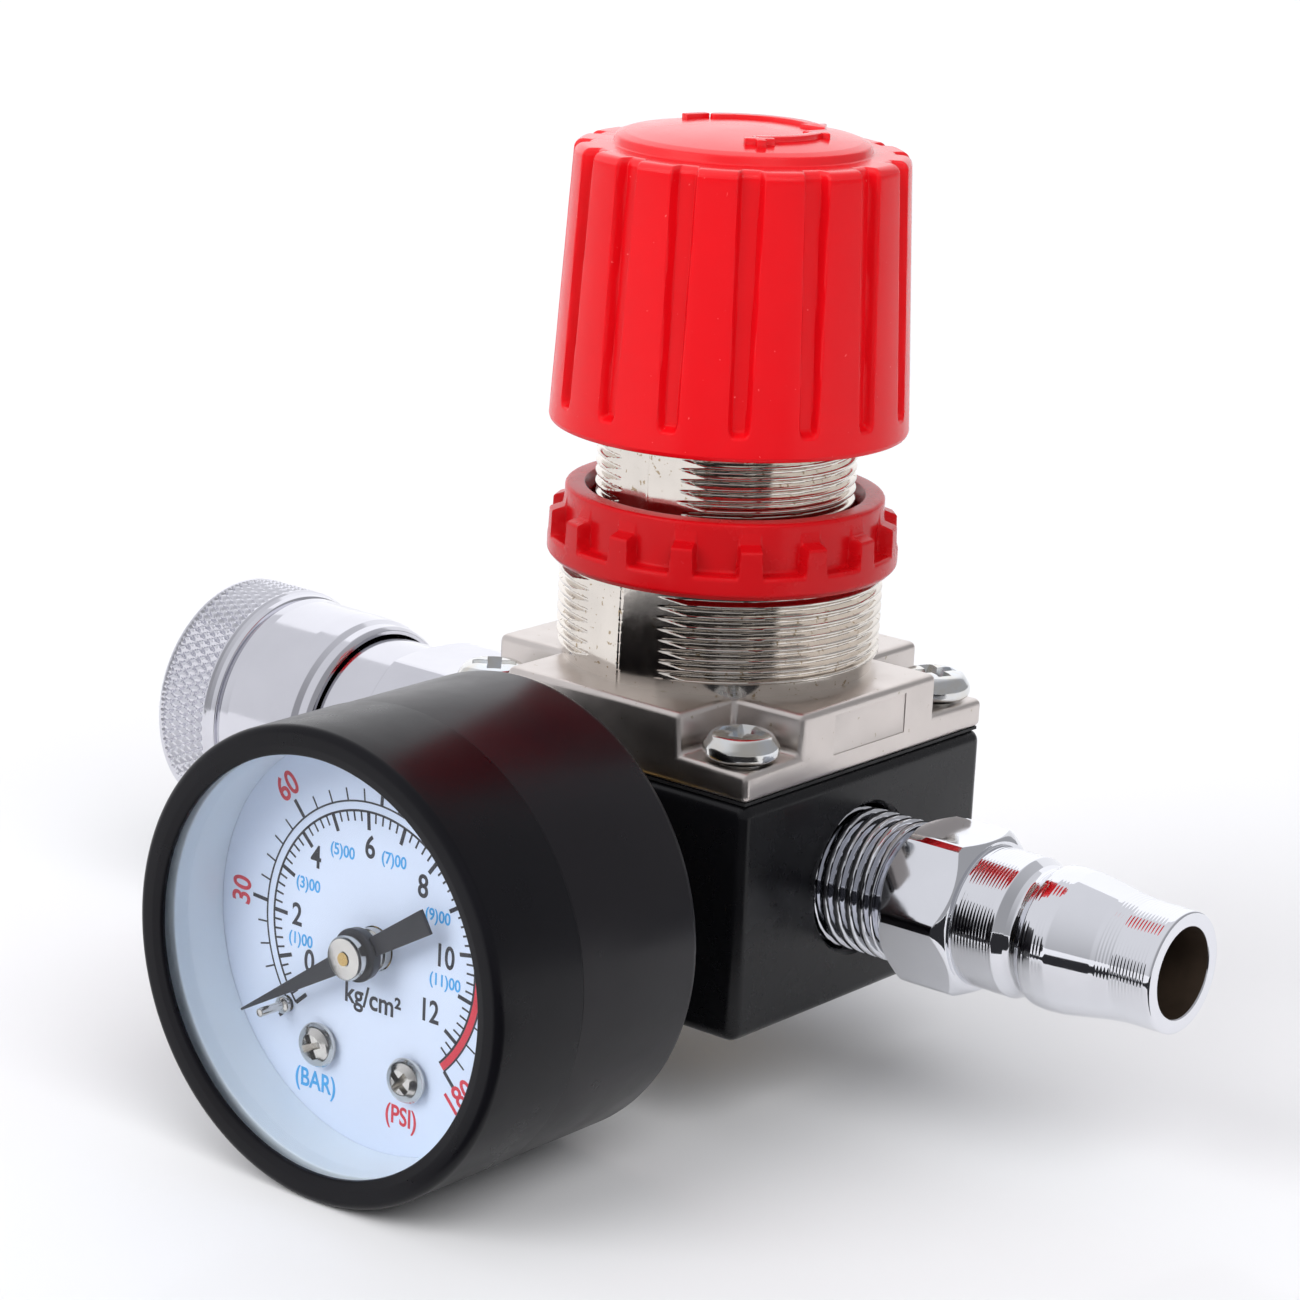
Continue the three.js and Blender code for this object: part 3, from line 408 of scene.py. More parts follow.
def turning(h, lo, hi, pitch, depth):
    """Fine tool marks between two stations."""
    w = smooth((h - lo) / 0.25) * smooth((hi - h) / 0.25)
    return -depth * w * (0.5 + 0.5 * np.cos(TAU * h / pitch))


def coil(name, r, wire, h0, h1, turns, axis, c=P0, per=40, sides=12, flat=0.75):
    sg = 1 if h1 > h0 else -1
    a0, a1 = h0 + wire * sg, h1 - wire * sg
    n = int(per * turns)
    t = np.linspace(0, 1, n + 1)
    e, k = flat / turns, 0.25
    f = np.where(t < e, k * t, np.where(t > 1 - e, 1 - k * (1 - t), k * e + (t - e) * (1 - 2 * k * e) / (1 - 2 * e)))
    h, a = a0 + (a1 - a0) * f, TAU * turns * t
    w = np.linspace(0, TAU, sides, endpoint=False)
    rr = r + wire * np.cos(w)[None, :]
    hh = h[:, None] + wire * np.sin(w)[None, :]
    pts = place(rr, hh, a[:, None], axis, c)
    idx = np.arange((n + 1) * sides).reshape(n + 1, sides)
    i, j = np.meshgrid(np.arange(n), np.arange(sides), indexing="ij")
    quads = np.stack([idx[i, j], idx[i + 1, j], idx[i + 1, (j + 1) % sides], idx[i, (j + 1) % sides]], -1).reshape(-1, 4)
    verts = np.concatenate([pts.reshape(-1, 3), pts[:1].mean(1), pts[-1:].mean(1)])
    s, z = (n + 1) * sides, (n + 1) * sides + 1
    q = np.arange(sides)
    tris = np.concatenate([np.stack([np.full(sides, s), idx[0, q], idx[0, (q + 1) % sides]], -1), np.stack([np.full(sides, z), idx[-1, (q + 1) % sides], idx[-1, q]], -1)])
    return mesh_object(name, verts, quads, tris)


# ------------------------------------------------------------------ body block
BODY_HALF, BODY_TOP = 18.15, 22.1
o = block("valve_body_shell", -BODY_HALF, BODY_HALF, -BODY_HALF, BODY_HALF, 0, BODY_TOP)
bevelled(o, 1.15, 5)
holes = [
    rod("h", 14.6, 20.4, 24, "Z", seg=96), rod("h", 12.8, 19.4, 20.6, "Z"), rod("h", 5.2, 17.6, 19.8, "Z"), rod("h", 3.2, 12.8, 18.0, "Z"),
    rod("h", 2.4, 10.5, 13.2, "Z"), rod("h", 6.2, 3.4, 11.0, "Z"),
    turned("h", [(0, -1), (8.7, -1), (7.6, 0.45), (7.6, 3.8), (0, 3.8)], "Z", seg=96),
    turned("h", [(0, 8.8), (6.9, 8.8), (6.9, 17.75), (7.9, 18.75), (7.9, 20), (0, 20)], "X", PORT, seg=96),
    turned("h", [(0, 8.8), (6.9, 8.8), (6.9, 17.75), (7.9, 18.75), (7.9, 20), (0, 20)], "-X", PORT, seg=96),
    turned("h", [(0, 8.8), (5.2, 8.8), (5.2, 17.8), (6.1, 18.7), (6.1, 20), (0, 20)], "-Y", GAUGE, seg=96),
    turned("h", [(0, 8.8), (5.2, 8.8), (5.2, 17.8), (6.1, 18.7), (6.1, 20), (0, 20)], "Y", GAUGE, seg=96),
    rod("h", 1.8, 5, 9.6, "X", (0, 0, 8.5)), rod("h", 1.8, 16, 19.8, "Z", (-11, 0, 0)),
    rod("h", 1.2, 15, 19.8, "Z", (0, -10.8, 0)), rod("h", 1.2, 15, 19.8, "Z", (0, 10.8, 0)),
]
holes += [rod("h", 2.3, 11.5, 24, "Z", (sx * 14.6, sy * 14.6, 0)) for sx in (-1, 1) for sy in (-1, 1)]
for h in holes:
    boolean(o, h)
finish_piece(o, PAINT, "root", "valve_body")

# ------------------------------------------------------------------ bonnet: flange, M30 x 1 collar and M24 x 1 neck in one casting
N, H = 10.17, 18.0
cross = [(N, -H), (N, -N), (H, -N), (H, N), (N, N), (N, H), (-N, H), (-N, N), (-H, N), (-H, -N), (-N, -N), (-N, -H)]
base = block("bonnet_casting", -H, H, -H, H, 22.4, 25.1)
top = prism("t", cross[::-1], 24.0, 29.0)
boolean(base, top, "UNION")
bevelled(base, 0.62, 4)
# cast-in shallow panel on the +X side
boolean(base, bevelled(block("p", 17.90, 19.0, -5.4, 5.4, 24.35, 28.1), 0.05, 2))
PITCH = 1.0


def barrel(th, h):
    """Outer radius of the bonnet's two threaded barrels: threads that stop at the flats along both parting lines."""
    low = h < 38.0
    major, depth = np.where(low, 15.0, 12.0), 0.56
    r = thread(th, h, major, depth, PITCH)
    root = major - depth
    r = np.where((h > 30.15) & (h < 37.9) | (h > 44.2) & (h < 57.5), r, root + 0.0 * r)
    blend = smooth((h - 29.9) / 0.5) * smooth((38.2 - h) / 0.3)
    r = np.where(low, root + (r - root) * blend, r)
    for seam in (-math.pi / 2, math.pi / 2):
        d = (th - seam + math.pi) % TAU - math.pi
        off = np.abs(d) - math.radians(8.6)
        flat = (root - 0.13) / np.cos(np.clip(off, -1.2, 1.2))
        r = np.where(np.abs(d) < math.radians(40), np.minimum(r, flat), r)
        r = r - 0.06 * np.exp(-(d / 0.006) ** 2) * (np.abs(d) < 0.05)          # fine parting seam
    return r


seams = [s + k for s in (-math.pi / 2, math.pi / 2) for k in (-0.012, -0.006, -0.003, 0, 0.003, 0.006, 0.012)]
flats = [s + math.radians(k) for s in (-90, 90) for k in np.arange(-28, 28.1, 1.0)]
th = around(264, seams + flats)
st = np.concatenate([[28.4], np.linspace(28.55, 29.9, 4), np.arange(30.0, 37.95, PITCH / 15), [37.95]])
nk = np.concatenate([[44.0], np.arange(44.2, 57.5, PITCH / 15), [57.6, 61.2, 61.6, 62.0]])
H1 = np.repeat(st[None], len(th), 0)
R1 = barrel(th[:, None], H1)
H2 = np.repeat(nk[None], len(th), 0)
R2 = barrel(th[:, None], H2)
R2[:, -1] -= 0.75
R2[:, -2] -= 0.35
one = np.ones((len(th), 1))
# bottom bore lip, collar, shoulder, neck, then back down the spring bore
R = np.concatenate([9.9 * one, R1[:, :1], R1, R1[:, -1:] - 0.25, 12.0 * one, 11.45 * one, R2[:, :1], R2, 9.9 * one], 1)
Hh = np.concatenate([24.2 * one, 24.2 * one, H1, 38.0 * one, 38.0 * one, 38.15 * one, 43.9 * one, H2, 62.0 * one], 1)
barrels = surface("barrels", R, Hh, th, "Z")
boolean(base, rod("c", 12.4, 20, 31, "Z", seg=128))
boolean(base, barrels, "UNION")
for sx in (-1, 1):
    for sy in (-1, 1):
        boolean(base, rod("h", 2.3, 20, 26.0, "Z", (sx * 14.6, sy * 14.6, 0)))
finish_piece(base, NICKEL, "root", "bonnet", sharp=40)
# the turned part of the casting takes the brighter threaded finish
base.data.materials.append(NICKEL_T)
ce = np.zeros(len(base.data.polygons) * 3, np.float32)
base.data.polygons.foreach_get("center", ce)
ce = ce.reshape(-1, 3)
sel = (ce[:, 2] > 0.0292) & (np.hypot(ce[:, 0], ce[:, 1]) < 0.01505)
base.data.polygons.foreach_set("material_index", sel.astype(np.int32))

# a thin gasket fills the gap under the flange
g = block("bonnet_gasket_cut", -17.7, 17.7, -17.7, 17.7, 22.11, 22.39)
boolean(g, rod("h", 12.7, 20, 24, "Z", seg=96))
for sx in (-1, 1):
    for sy in (-1, 1):
        boolean(g, rod("h", 2.3, 20, 24, "Z", (sx * 14.6, sy * 14.6, 0)))
finish_piece(g, RUBBER, "root", None)

# ------------------------------------------------------------------ bonnet screws
for n, (sx, sy, turn) in enumerate([(1, -1, 20), (1, 1, 65), (-1, 1, -15), (-1, -1, 40)]):
    z = 25.4
    c = (sx * 14.6, sy * 14.6, 0)
    s = turned("bonnet_screw_%d_turned" % (n + 1), [(0, 12.2), (1.5, 12.2, 0.2), (2.0, 12.9, 0.2), (2.0, z), (3.0, z, 0.2), (3.42, z + 0.35, 0.5), (3.45, z + 1.15, 0.9), (2.75, z + 2.2, 0.9), (1.7, z + 2.42, 0.5), (0, z + 2.34)],
               "Z", c, seg=72, n=6)
    cut = None
    for k in (0, 1):
        w0, w1, l0, l1, zb, zt = 0.44, 0.74, 1.2, 2.35, z + 0.85, z + 2.9
        v = []
        for w, l, zz in ((w0, l0, zb), (w1, l1, zt)):
            v += [(-l, -w, zz), (l, -w, zz), (l, w, zz), (-l, w, zz)]
        a = math.radians(turn + 90 * k)
        v = [(x * math.cos(a) - y * math.sin(a) + c[0], x * math.sin(a) + y * math.cos(a) + c[1], q) for x, y, q in v]
        b = mesh_object("x", v, [(0, 3, 2, 1), (4, 5, 6, 7), (0, 1, 5, 4), (1, 2, 6, 5), (2, 3, 7, 6), (3, 0, 4, 7)])
        boolean(s, b)
    finish_piece(s, ZINC, "root", "bonnet_screw_%d" % (n + 1), sharp=38)

# ------------------------------------------------------------------ lock ring
TEETH, AT = 16, math.radians(-90 + 47.3)
tooth_half = 1.10 / 15.8
extra = []
for i in range(TEETH):
    a = AT + TAU * i / TEETH
    extra += [a + s * (tooth_half + k) for s in (-1, 1) for k in (-0.016, -0.010, -0.005, 0, 0.005, 0.010, 0.016)]
th = around(192, extra)
low = fillet([(12.3, 39.0), (12.3, 38.7), (12.7, 38.3, 0.1), (15.75, 38.3), (16.2, 38.75, 0.5), (16.2, 39.45)], 5)
gap = resample(fillet([(16.2, 39.45), (16.2, 40.42, 0.42), (14.78, 40.52, 0.30), (14.74, 44.2)], 6), 44)
tth = resample(fillet([(16.2, 39.45), (16.10, 42.75, 0.30), (14.90, 43.15, 0.20), (14.74, 44.2)], 6), 44)
up = fillet([(14.74, 44.2), (14.74, 45.0, 0.42), (12.95, 45.0, 0.15), (12.3, 43.95, 0.1), (12.3, 39.1)], 5)
d = np.abs((th - AT + math.pi / TEETH) % (TAU / TEETH) - math.pi / TEETH)
zrow = tth[None, :, 1]
half = tooth_half * (1.06 - 0.10 * np.clip((zrow - 40) / 3.5, 0, 1))
w = smooth((half - d[:, None]) / 0.016 + 0.5)[..., None]
mid = gap[None] * (1 - w) + tth[None] * w
rep = lambda p: np.repeat(p[None], len(th), 0)
path = np.concatenate([rep(low), mid[:, 1:-1], rep(up)], 1)
o = surface("lock_ring_moulding", path[..., 0], path[..., 1], th, "Z")
finish_piece(o, RED_RING, "lock_ring", "lock_ring", sharp=30)

# ------------------------------------------------------------------ adjusting knob
K0, K1, KR0, KR1, FL, FAT = 50.92, 76.35, 16.53, 15.21, 16, math.radians(-90 + 41.0)
per = 56
th = (FAT + np.arange(FL * per) * TAU / (FL * per)) % TAU
th = np.sort(th)
d = np.abs((th - FAT + math.pi / FL) % (TAU / FL) - math.pi / FL)[:, None]
hz = np.concatenate([[52.15, 52.5, 52.85], np.linspace(52.95, 54.6, 14), np.linspace(55.4, 75.2, 16)])[None]
taper = KR0 + (KR1 - KR0) * (hz - K0) / (K1 - K0)
f = np.clip((hz - 54.4) / (K1 - 54.4), 0, 1)
half = 0.80 + 0.24 * f                                   # half width of a flute, a little wider at the top
run = np.sqrt(np.clip((hz - 52.95) / 1.0, 0, 1))         # rounded lower end
arc = d * taper
s = smooth((half * (0.55 + 0.45 * run) - arc) / 0.44 + 0.5)
depth = (0.90 + 0.14 * f) * s * smooth((hz - 52.95) / 0.7)
ro = taper - depth
outer = np.stack([ro, np.repeat(hz, len(th), 0)], -1)
rt = outer[:, -1:, 0]
fil = []
for k in range(1, 9):
    a = (math.pi / 2) * k / 8
    rf = 0.85
    fil.append(np.stack([rt[:, 0] - 0.02 - rf + rf * math.cos(a), np.full(len(th), K1 - rf + rf * math.sin(a))], -1))
fil = np.stack(fil, 1)
low = fillet([(12.4, 68.0), (12.4, 51.3, 0.0), (12.8, K0, 0.1), (16.35, K0, 0.28), (16.51, 51.35, 0.2), (16.47, 52.0)], 5)
topd = fillet([(13.2, K1), (11.75, K1 + 0.02, 0.25), (11.55, K1 + 0.78, 0.30), (10.7, K1 + 1.08, 0.5), (9.4, 77.64), (8.0, 77.82), (6.5, 77.96), (5.0, 78.07), (3.3, 78.16), (1.6, 78.21), (0, 78.22)], 5)
und = [(0, 59.0), (4.4, 59.0), (5.0, 59.6), (5.0, 68.5), (12.4, 68.5)]
path = np.concatenate([rep(np.array(und)), rep(low), outer, fil, rep(topd)], 1)
o = surface("adjusting_knob_moulding", path[..., 0], path[..., 1], th, "Z", ends="axis")
finish_piece(o, RED, "knob", "adjusting_knob", sharp=42)
o.data.materials.append(RED_CAP)
ce = np.zeros(len(o.data.polygons) * 3, np.float32)
o.data.polygons.foreach_get("center", ce)
ce = ce.reshape(-1, 3)
o.data.polygons.foreach_set("material_index", (ce[:, 2] > 0.0757).astype(np.int32))


def ribbon(name, pts, half, z0, z1, taperto=None):
    """A raised stroke with round ends along a flat path (x, y), z0 to z1, its top edge softened."""
    pts = np.array(pts, float)
    n = len(pts)
    t = np.gradient(pts, axis=0)
    t /= np.linalg.norm(t, axis=1)[:, None]
    nr = np.stack([-t[:, 1], t[:, 0]], 1)
    hw = np.full(n, half) if taperto is None else np.linspace(half, taperto, n)
    left, right = pts + nr * hw[:, None], pts - nr * hw[:, None]
    cap = lambda p, tt, h: [p + h * (math.cos(a) * np.array([-tt[1], tt[0]]) + math.sin(a) * tt) for a in np.linspace(math.pi / 2, -math.pi / 2, 9)[1:-1]]
    end = [pts[-1] + hw[-1] * (math.cos(a) * nr[-1] + math.sin(a) * t[-1]) for a in np.linspace(0, math.pi, 9)[1:-1]]
    beg = [pts[0] + hw[0] * (-math.cos(a) * nr[0] - math.sin(a) * t[0]) for a in np.linspace(0, math.pi, 9)[1:-1]]
    out = list(left) + end + list(right[::-1]) + beg
    ob = prism(name, out, z0, z1)
    return bevelled(ob, 0.12, 2, 50)


def bar_outline(cx, cy, l, w, a):
    co, si = math.cos(a), math.sin(a)
    return [(cx + x * co - y * si, cy + x * si + y * co) for x, y in ((-l, -w), (l, -w), (l, w), (-l, w))]


# generic turning marks on the cap: two curved arrows, a plus and a minus
marks = []
arcp = lambda r, a0, a1, n=26: [(r * math.cos(math.radians(a)), r * math.sin(math.radians(a))) for a in np.linspace(a0, a1, n)]
for k, (a0, a1, tip) in enumerate([(150, 62, 50), (-40, 18, 30)]):
    body = ribbon("arrow_%d" % k, arcp(6.9, a0, a1), 0.55, 77.3, 78.36)
    r0, a = 6.9, math.radians(a1)
    sg = 1 if tip > a1 else -1
    p = np.array([r0 * math.cos(a), r0 * math.sin(a)])
    tg = sg * np.array([-math.sin(a), math.cos(a)])
    nn = np.array([math.cos(a), math.sin(a)])
    head = prism("head", [tuple(p - nn * 1.35 - tg * 0.2), tuple(p + nn * 1.35 - tg * 0.2), tuple(p + tg * 2.3)], 77.3, 78.34)
    boolean(body, bevelled(head, 0.12, 2), "UNION")
    marks.append(body)
pa, pw, pl = math.radians(-42), 0.42, 1.35
cr = [(pw, -pl), (pw, -pw), (pl, -pw), (pl, pw), (pw, pw), (pw, pl), (-pw, pl), (-pw, pw), (-pl, pw), (-pl, -pw), (-pw, -pw), (-pw, -pl)]
plus = prism("plus", [(5.9 + x * math.cos(pa) - y * math.sin(pa), -5.4 + x * math.sin(pa) + y * math.cos(pa)) for x, y in cr], 77.3, 78.34)
marks.append(bevelled(plus, 0.1, 2))
marks.append(bevelled(prism("minus", bar_outline(-7.3, 2.1, 1.3, 0.42, math.radians(75)), 77.3, 78.34), 0.1, 2))
for n, m_ in enumerate(marks):
    m_.name = m_.data.name = "knob_turning_mark_%d" % (n + 1)
    finish_piece(m_, RED_CAP, "knob", None, sharp=40)

# ------------------------------------------------------------------ inside the bonnet and the valve
finish_piece(turned("spring_button_turned", [(0, 53.9), (6.1, 53.9, 0.3), (6.1, 55.5, 0.2), (9.5, 55.5, 0.3), (9.5, 57.6, 0.4), (5.0, 58.7, 0.6), (0, 58.7)], "Z"), BRASS, "spring_button", "spring_button")
flattens = finish_piece(coil("main_spring_coil", 7.55, 1.1, 24.2, 55.2, 6.5, "Z", per=44, sides=14), STEEL, "root", "main_spring")
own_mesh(flattens)
finish_piece(turned("diaphragm_plate_turned", [(2.6, 22.4), (9.4, 22.4, 0.3), (9.4, 23.9, 0.4), (6.1, 23.9, 0.3), (5.9, 25.4, 0.3), (2.6, 25.4, 0.2)], "Z"), BRASS, "diaphragm_hub", "diaphragm_plate")
finish_piece(turned("diaphragm_nut_turned", [(0.8, 19.3), (4.5, 19.3, 0.3), (4.5, 20.4, 0.2), (2.3, 20.4, 0.1), (2.3, 26.2, 0.2), (0.8, 26.2)], "Z"), BRASS, "diaphragm_hub", "diaphragm_nut")
flattens = finish_piece(turned("diaphragm_moulded", [(2.7, 20.7), (4.6, 20.7), (7.0, 21.0, 1.5), (9.6, 20.7, 1.5), (14.3, 20.7, 0.3), (14.3, 22.1, 0.3), (9.8, 22.1, 1.5), (7.0, 21.9, 1.5), (4.6, 22.1), (2.7, 22.1)], "Z"), RUBBER, "root", "diaphragm")
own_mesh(flattens)
finish_piece(turned("valve_stem_turned", [(0, 3.2), (1.3, 3.2, 0.2), (1.3, 8.2, 0.1), (4.2, 8.2, 0.2), (4.2, 9.6, 0.2), (1.4, 9.6, 0.1), (1.4, 18.6, 0.2), (0.9, 19.0, 0.2), (0, 19.0)], "Z", seg=64), BRASS, "valve", "valve_stem")
finish_piece(turned("valve_seal_moulded", [(1.7, 9.9, 0.2), (4.0, 9.9, 0.2), (4.0, 10.7, 0.25), (1.7, 10.7, 0.2)], "Z", seg=64), RUBBER, "valve", "valve_seal")
flattens = finish_piece(coil("valve_spring_coil", 3.0, 0.35, 4.7, 7.9, 3.5, "Z", per=40, sides=10), STEEL, "root", "valve_spring")
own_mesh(flattens)
o = turned("bottom_plug_turned", [(0, 0.0), (6.75, 0, 0.25), (7.3, 0.45, 0.2), (7.3, 2.0, 0.15), (5.9, 2.0, 0.1), (5.9, 4.4, 0.3), (0, 4.4)], "Z")
for c in ((0, 0, 0),):
    boolean(o, rod("h", 1.7, 1.6, 5, "Z"))
for sx in (-1, 1):
    boolean(o, rod("h", 1.0, -1, 1.2, "Z", (4.4 * sx, 0, 0)))
finish_piece(o, BRASS, "root", "bottom_plug")
a = np.linspace(0, TAU, 17)[:-1]
finish_piece(turned("bottom_plug_o_ring", [(6.75 + 0.55 * math.cos(t), 2.9 + 0.55 * math.sin(t)) for t in a], "Z", loop=True), RUBBER, "root", "bottom_plug_seal")
# rear port plug: threaded, with a hexagon socket
th = around(144)
st = np.concatenate([[10.2, 10.7], np.arange(10.8, 17.2, 0.907 / 12), [17.3, 17.6, 17.85]])
Hp = np.repeat(st[None], len(th), 0)
Rp = thread(th[:, None], Hp, 4.86, 0.55, 0.907)
Rp[:, 0] = 4.2
Rp[:, -3] = 4.55
Rp[:, -2] = 4.5
Rp[:, -1] = 4.25
one = np.ones((len(th), 1))
Rp = np.concatenate([0 * one, Rp, 4.0 * one, 0 * one], 1)
Hp = np.concatenate([10.2 * one, Hp, 17.9 * one, 17.9 * one], 1)
o = surface("rear_port_plug_threaded", Rp, Hp, th, "Y", GAUGE, ends="axis")
hexo = [(5.0 / math.sqrt(3) * math.cos(math.radians(60 * i)), 5.0 / math.sqrt(3) * math.sin(math.radians(60 * i))) for i in range(6)]
boolean(o, prism("hex", hexo, -19, -13.8, "XZ", GAUGE))
boolean(o, turned("cs", [(0, 17.55), (2.5, 17.55), (3.1, 18.2), (0, 18.2)], "Y", GAUGE, seg=64))
finish_piece(o, ZINC, "root", "rear_port_plug", sharp=38)


# ------------------------------------------------------------------ hexagons and threads of the two fittings
def hexagon(th, af, corner=0.22):
    d = (th % (TAU / 6)) - TAU / 12
    # corners at multiples of 60 degrees, slightly rounded
    flat = (af / 2) / np.cos(d)
    top = af / math.sqrt(3) - corner
    k = 0.05
    return np.where(flat > top - k, top - k + k * np.tanh((flat - top + k) / k), flat)


G14, G14_PITCH, G14_DEPTH = 6.58, 1.337, 0.78
hexc = [TAU / 6 * i + k for i in range(6) for k in (-0.05, -0.03, -0.02, -0.01, 0, 0.01, 0.02, 0.03, 0.05)]


def broad_thread(th, h, major, depth, pitch):
    """A rolled thread with broad flat crests and narrow roots."""
    t = np.abs(2 * ((h / pitch - th / TAU) % 1.0) - 1)
    w = np.clip((t - 0.40) / 0.50, 0, 1)
    return major - depth * (0.25 * w + 0.75 * smooth(w)) - 0.03 * np.clip(t / 0.40, 0, 1) ** 2


def threaded_shank(th, x0, x1):
    st = np.concatenate([np.arange(x0, x1 - 0.001, G14_PITCH / 22), [x1]])
    Hs = np.repeat(st[None], len(th), 0)
    root = G14 - G14_DEPTH
    Rs = broad_thread(th[:, None], Hs, G14, G14_DEPTH, G14_PITCH)
    w = smooth((x1 - 0.45 - Hs) / 0.45) * smooth((Hs - x0) / 0.6)
    return root + (Rs - root) * w, Hs


# ------------------------------------------------------------------ inlet plug
th = around(150, hexc)
one = np.ones((len(th), 1))
hx = hexagon(th, 14.0)[:, None]
Rt, Ht = threaded_shank(th, 9.8, 24.85)
XH, XE = 24.95, 32.4
hexp = [(5.72 * one, XH * one), (6.7 * one, XH * one), (6.86 * one, (XH + 0.04) * one), (hx - 0.05, XH + (hx - 6.9) * 1.02), (hx, XH + (hx - 6.9) * 1.02 + 0.08),
        (hx, XE - (hx - 6.9) * 0.95 - 0.08), (hx - 0.05, XE - (hx - 6.9) * 0.95), (6.86 * one, (XE - 0.03) * one), (6.75 * one, XE * one)]
nose = dense(fillet([(6.62, XE), (6.45, XE + 0.05, 0.05), (6.45, 36.9, 0.25), (5.95, 37.8, 0.3), (5.75, 38.4, 0.5), (5.95, 39.0, 0.3), (6.48, 39.8, 0.5), (6.55, 41.0, 1.5), (6.48, 42.4, 1.5), (6.1, 44.6, 2.5),
                     (5.75, 46.6, 2.5), (5.52, 48.6, 2.5), (5.5, 52.2, 0.05)], 4), 0.056)
nose[:, 0] += turning(nose[:, 1], 32.7, 36.75, 0.33, 0.018) + turning(nose[:, 1], 38.5, 40.5, 0.33, 0.012) + turning(nose[:, 1], 47.0, 52.1, 0.33, 0.015) + turning(nose[:, 1], 40.6, 42.2, 0.33, 0.005)
tip = fillet([(5.5, 52.2), (5.5, 52.67, 0.28), (4.13, 52.67, 0.16), (4.13, 50.0), (4.13, 12.0), (4.13, 9.3, 0.2), (5.3, 9.3, 0.2), (5.75, 9.75)], 5)
R = np.concatenate([Rt] + [p[0] for p in hexp] + [rep(nose)[..., 0], rep(tip)[:, 1:-1, 0]], 1)
Hh = np.concatenate([Ht] + [p[1] * one for p in hexp] + [rep(nose)[..., 1], rep(tip)[:, 1:-1, 1]], 1)
o = surface("male_plug_turned", R, Hh, th, "X", PORT)
finish_piece(o, CHROME, "root", "male_plug", sharp=30)
# the faces inside the plug's bore, up to near its mouth, take a dark brown colour
BORE_DARK = material("dark_bore_inside", (0.10, 0.07, 0.05), 0.45, 0.6, shade=0.3, blotch=300)
o.data.materials.append(BORE_DARK)
ce = np.zeros(len(o.data.polygons) * 3, np.float32)
o.data.polygons.foreach_get("center", ce)
ce = ce.reshape(-1, 3)
rad = np.hypot(ce[:, 1], ce[:, 2] - PORT_Z * MM)
o.data.polygons.foreach_set("material_index", ((rad < 0.00416) & (ce[:, 0] < 0.0519)).astype(np.int32))

# ------------------------------------------------------------------ outlet coupler
th = around(150, hexc)
one = np.ones((len(th), 1))
hx = hexagon(th, 20.0, 0.3)[:, None]
Rt, Ht = threaded_shank(th, 9.8, 23.45)
A0, A1 = 23.5, 36.7
hexp = [(5.72 * one, A0 * one), (9.6 * one, A0 * one), (9.8 * one, (A0 + 0.04) * one), (hx - 0.05, A0 + (hx - 9.85) * 0.65), (hx, A0 + (hx - 9.85) * 0.65 + 0.08),
        (hx, A1 - (hx - 9.95) * 0.72 - 0.08), (hx - 0.05, A1 - (hx - 9.95) * 0.72), (9.93 * one, (A1 - 0.03) * one), (9.90 * one, (A1 + 0.02) * one)]
rest = dense(fillet([(9.9, A1 + 0.1), (9.9, 43.5, 0.3), (8.3, 43.5, 0.15), (8.3, 31.5, 0.2), (3.5, 31.5, 0.2), (3.5, 9.3, 0.2), (5.3, 9.3, 0.2), (5.75, 9.75)], 5), 1.2)
R = np.concatenate([Rt] + [p[0] for p in hexp] + [rep(rest)[:, :-1, 0]], 1)
Hh = np.concatenate([Ht] + [p[1] * one for p in hexp] + [rep(rest)[:, :-1, 1]], 1)
finish_piece(surface("coupler_adapter_turned", R, Hh, th, "-X", PORT), CHROME_S, "root", "coupler_adapter", sharp=30)

o = turned("coupler_barrel_turned", [(8.0, 31.8), (8.0, 43.8, 0.1), (9.0, 43.8, 0.2), (9.0, 60.0, 0.05), (8.5, 60.0, 0.1), (8.5, 61.0, 0.1), (9.0, 61.0, 0.05), (9.0, 62.0, 0.2), (8.7, 62.3, 0.15), (7.2, 62.3, 0.2), (6.8, 61.7, 0.3),
                                     (6.8, 51.0, 0.1), (5.9, 50.6, 0.05), (5.9, 50.4, 0.05), (7.2, 50.4, 0.1), (7.2, 48.4, 0.1), (5.9, 48.4, 0.1), (5.9, 47.0, 0.1), (7.0, 47.0, 0.1), (7.0, 31.8, 0.1)], "-X", PORT, seg=144)
for i in range(4):
    a = i * math.pi / 2
    h = turned("h", [(0, 6.3), (1.42, 6.3), (1.8, 7.0), (1.8, 9.6), (0, 9.6)], "Z", seg=36)
    h.data.transform(Matrix.Translation((-0.056, 0, PORT_Z * MM)) @ Matrix.Rotation(a, 4, "X"))
    boolean(o, h)
finish_piece(o, STEEL, "root", "coupler_barrel", sharp=35)

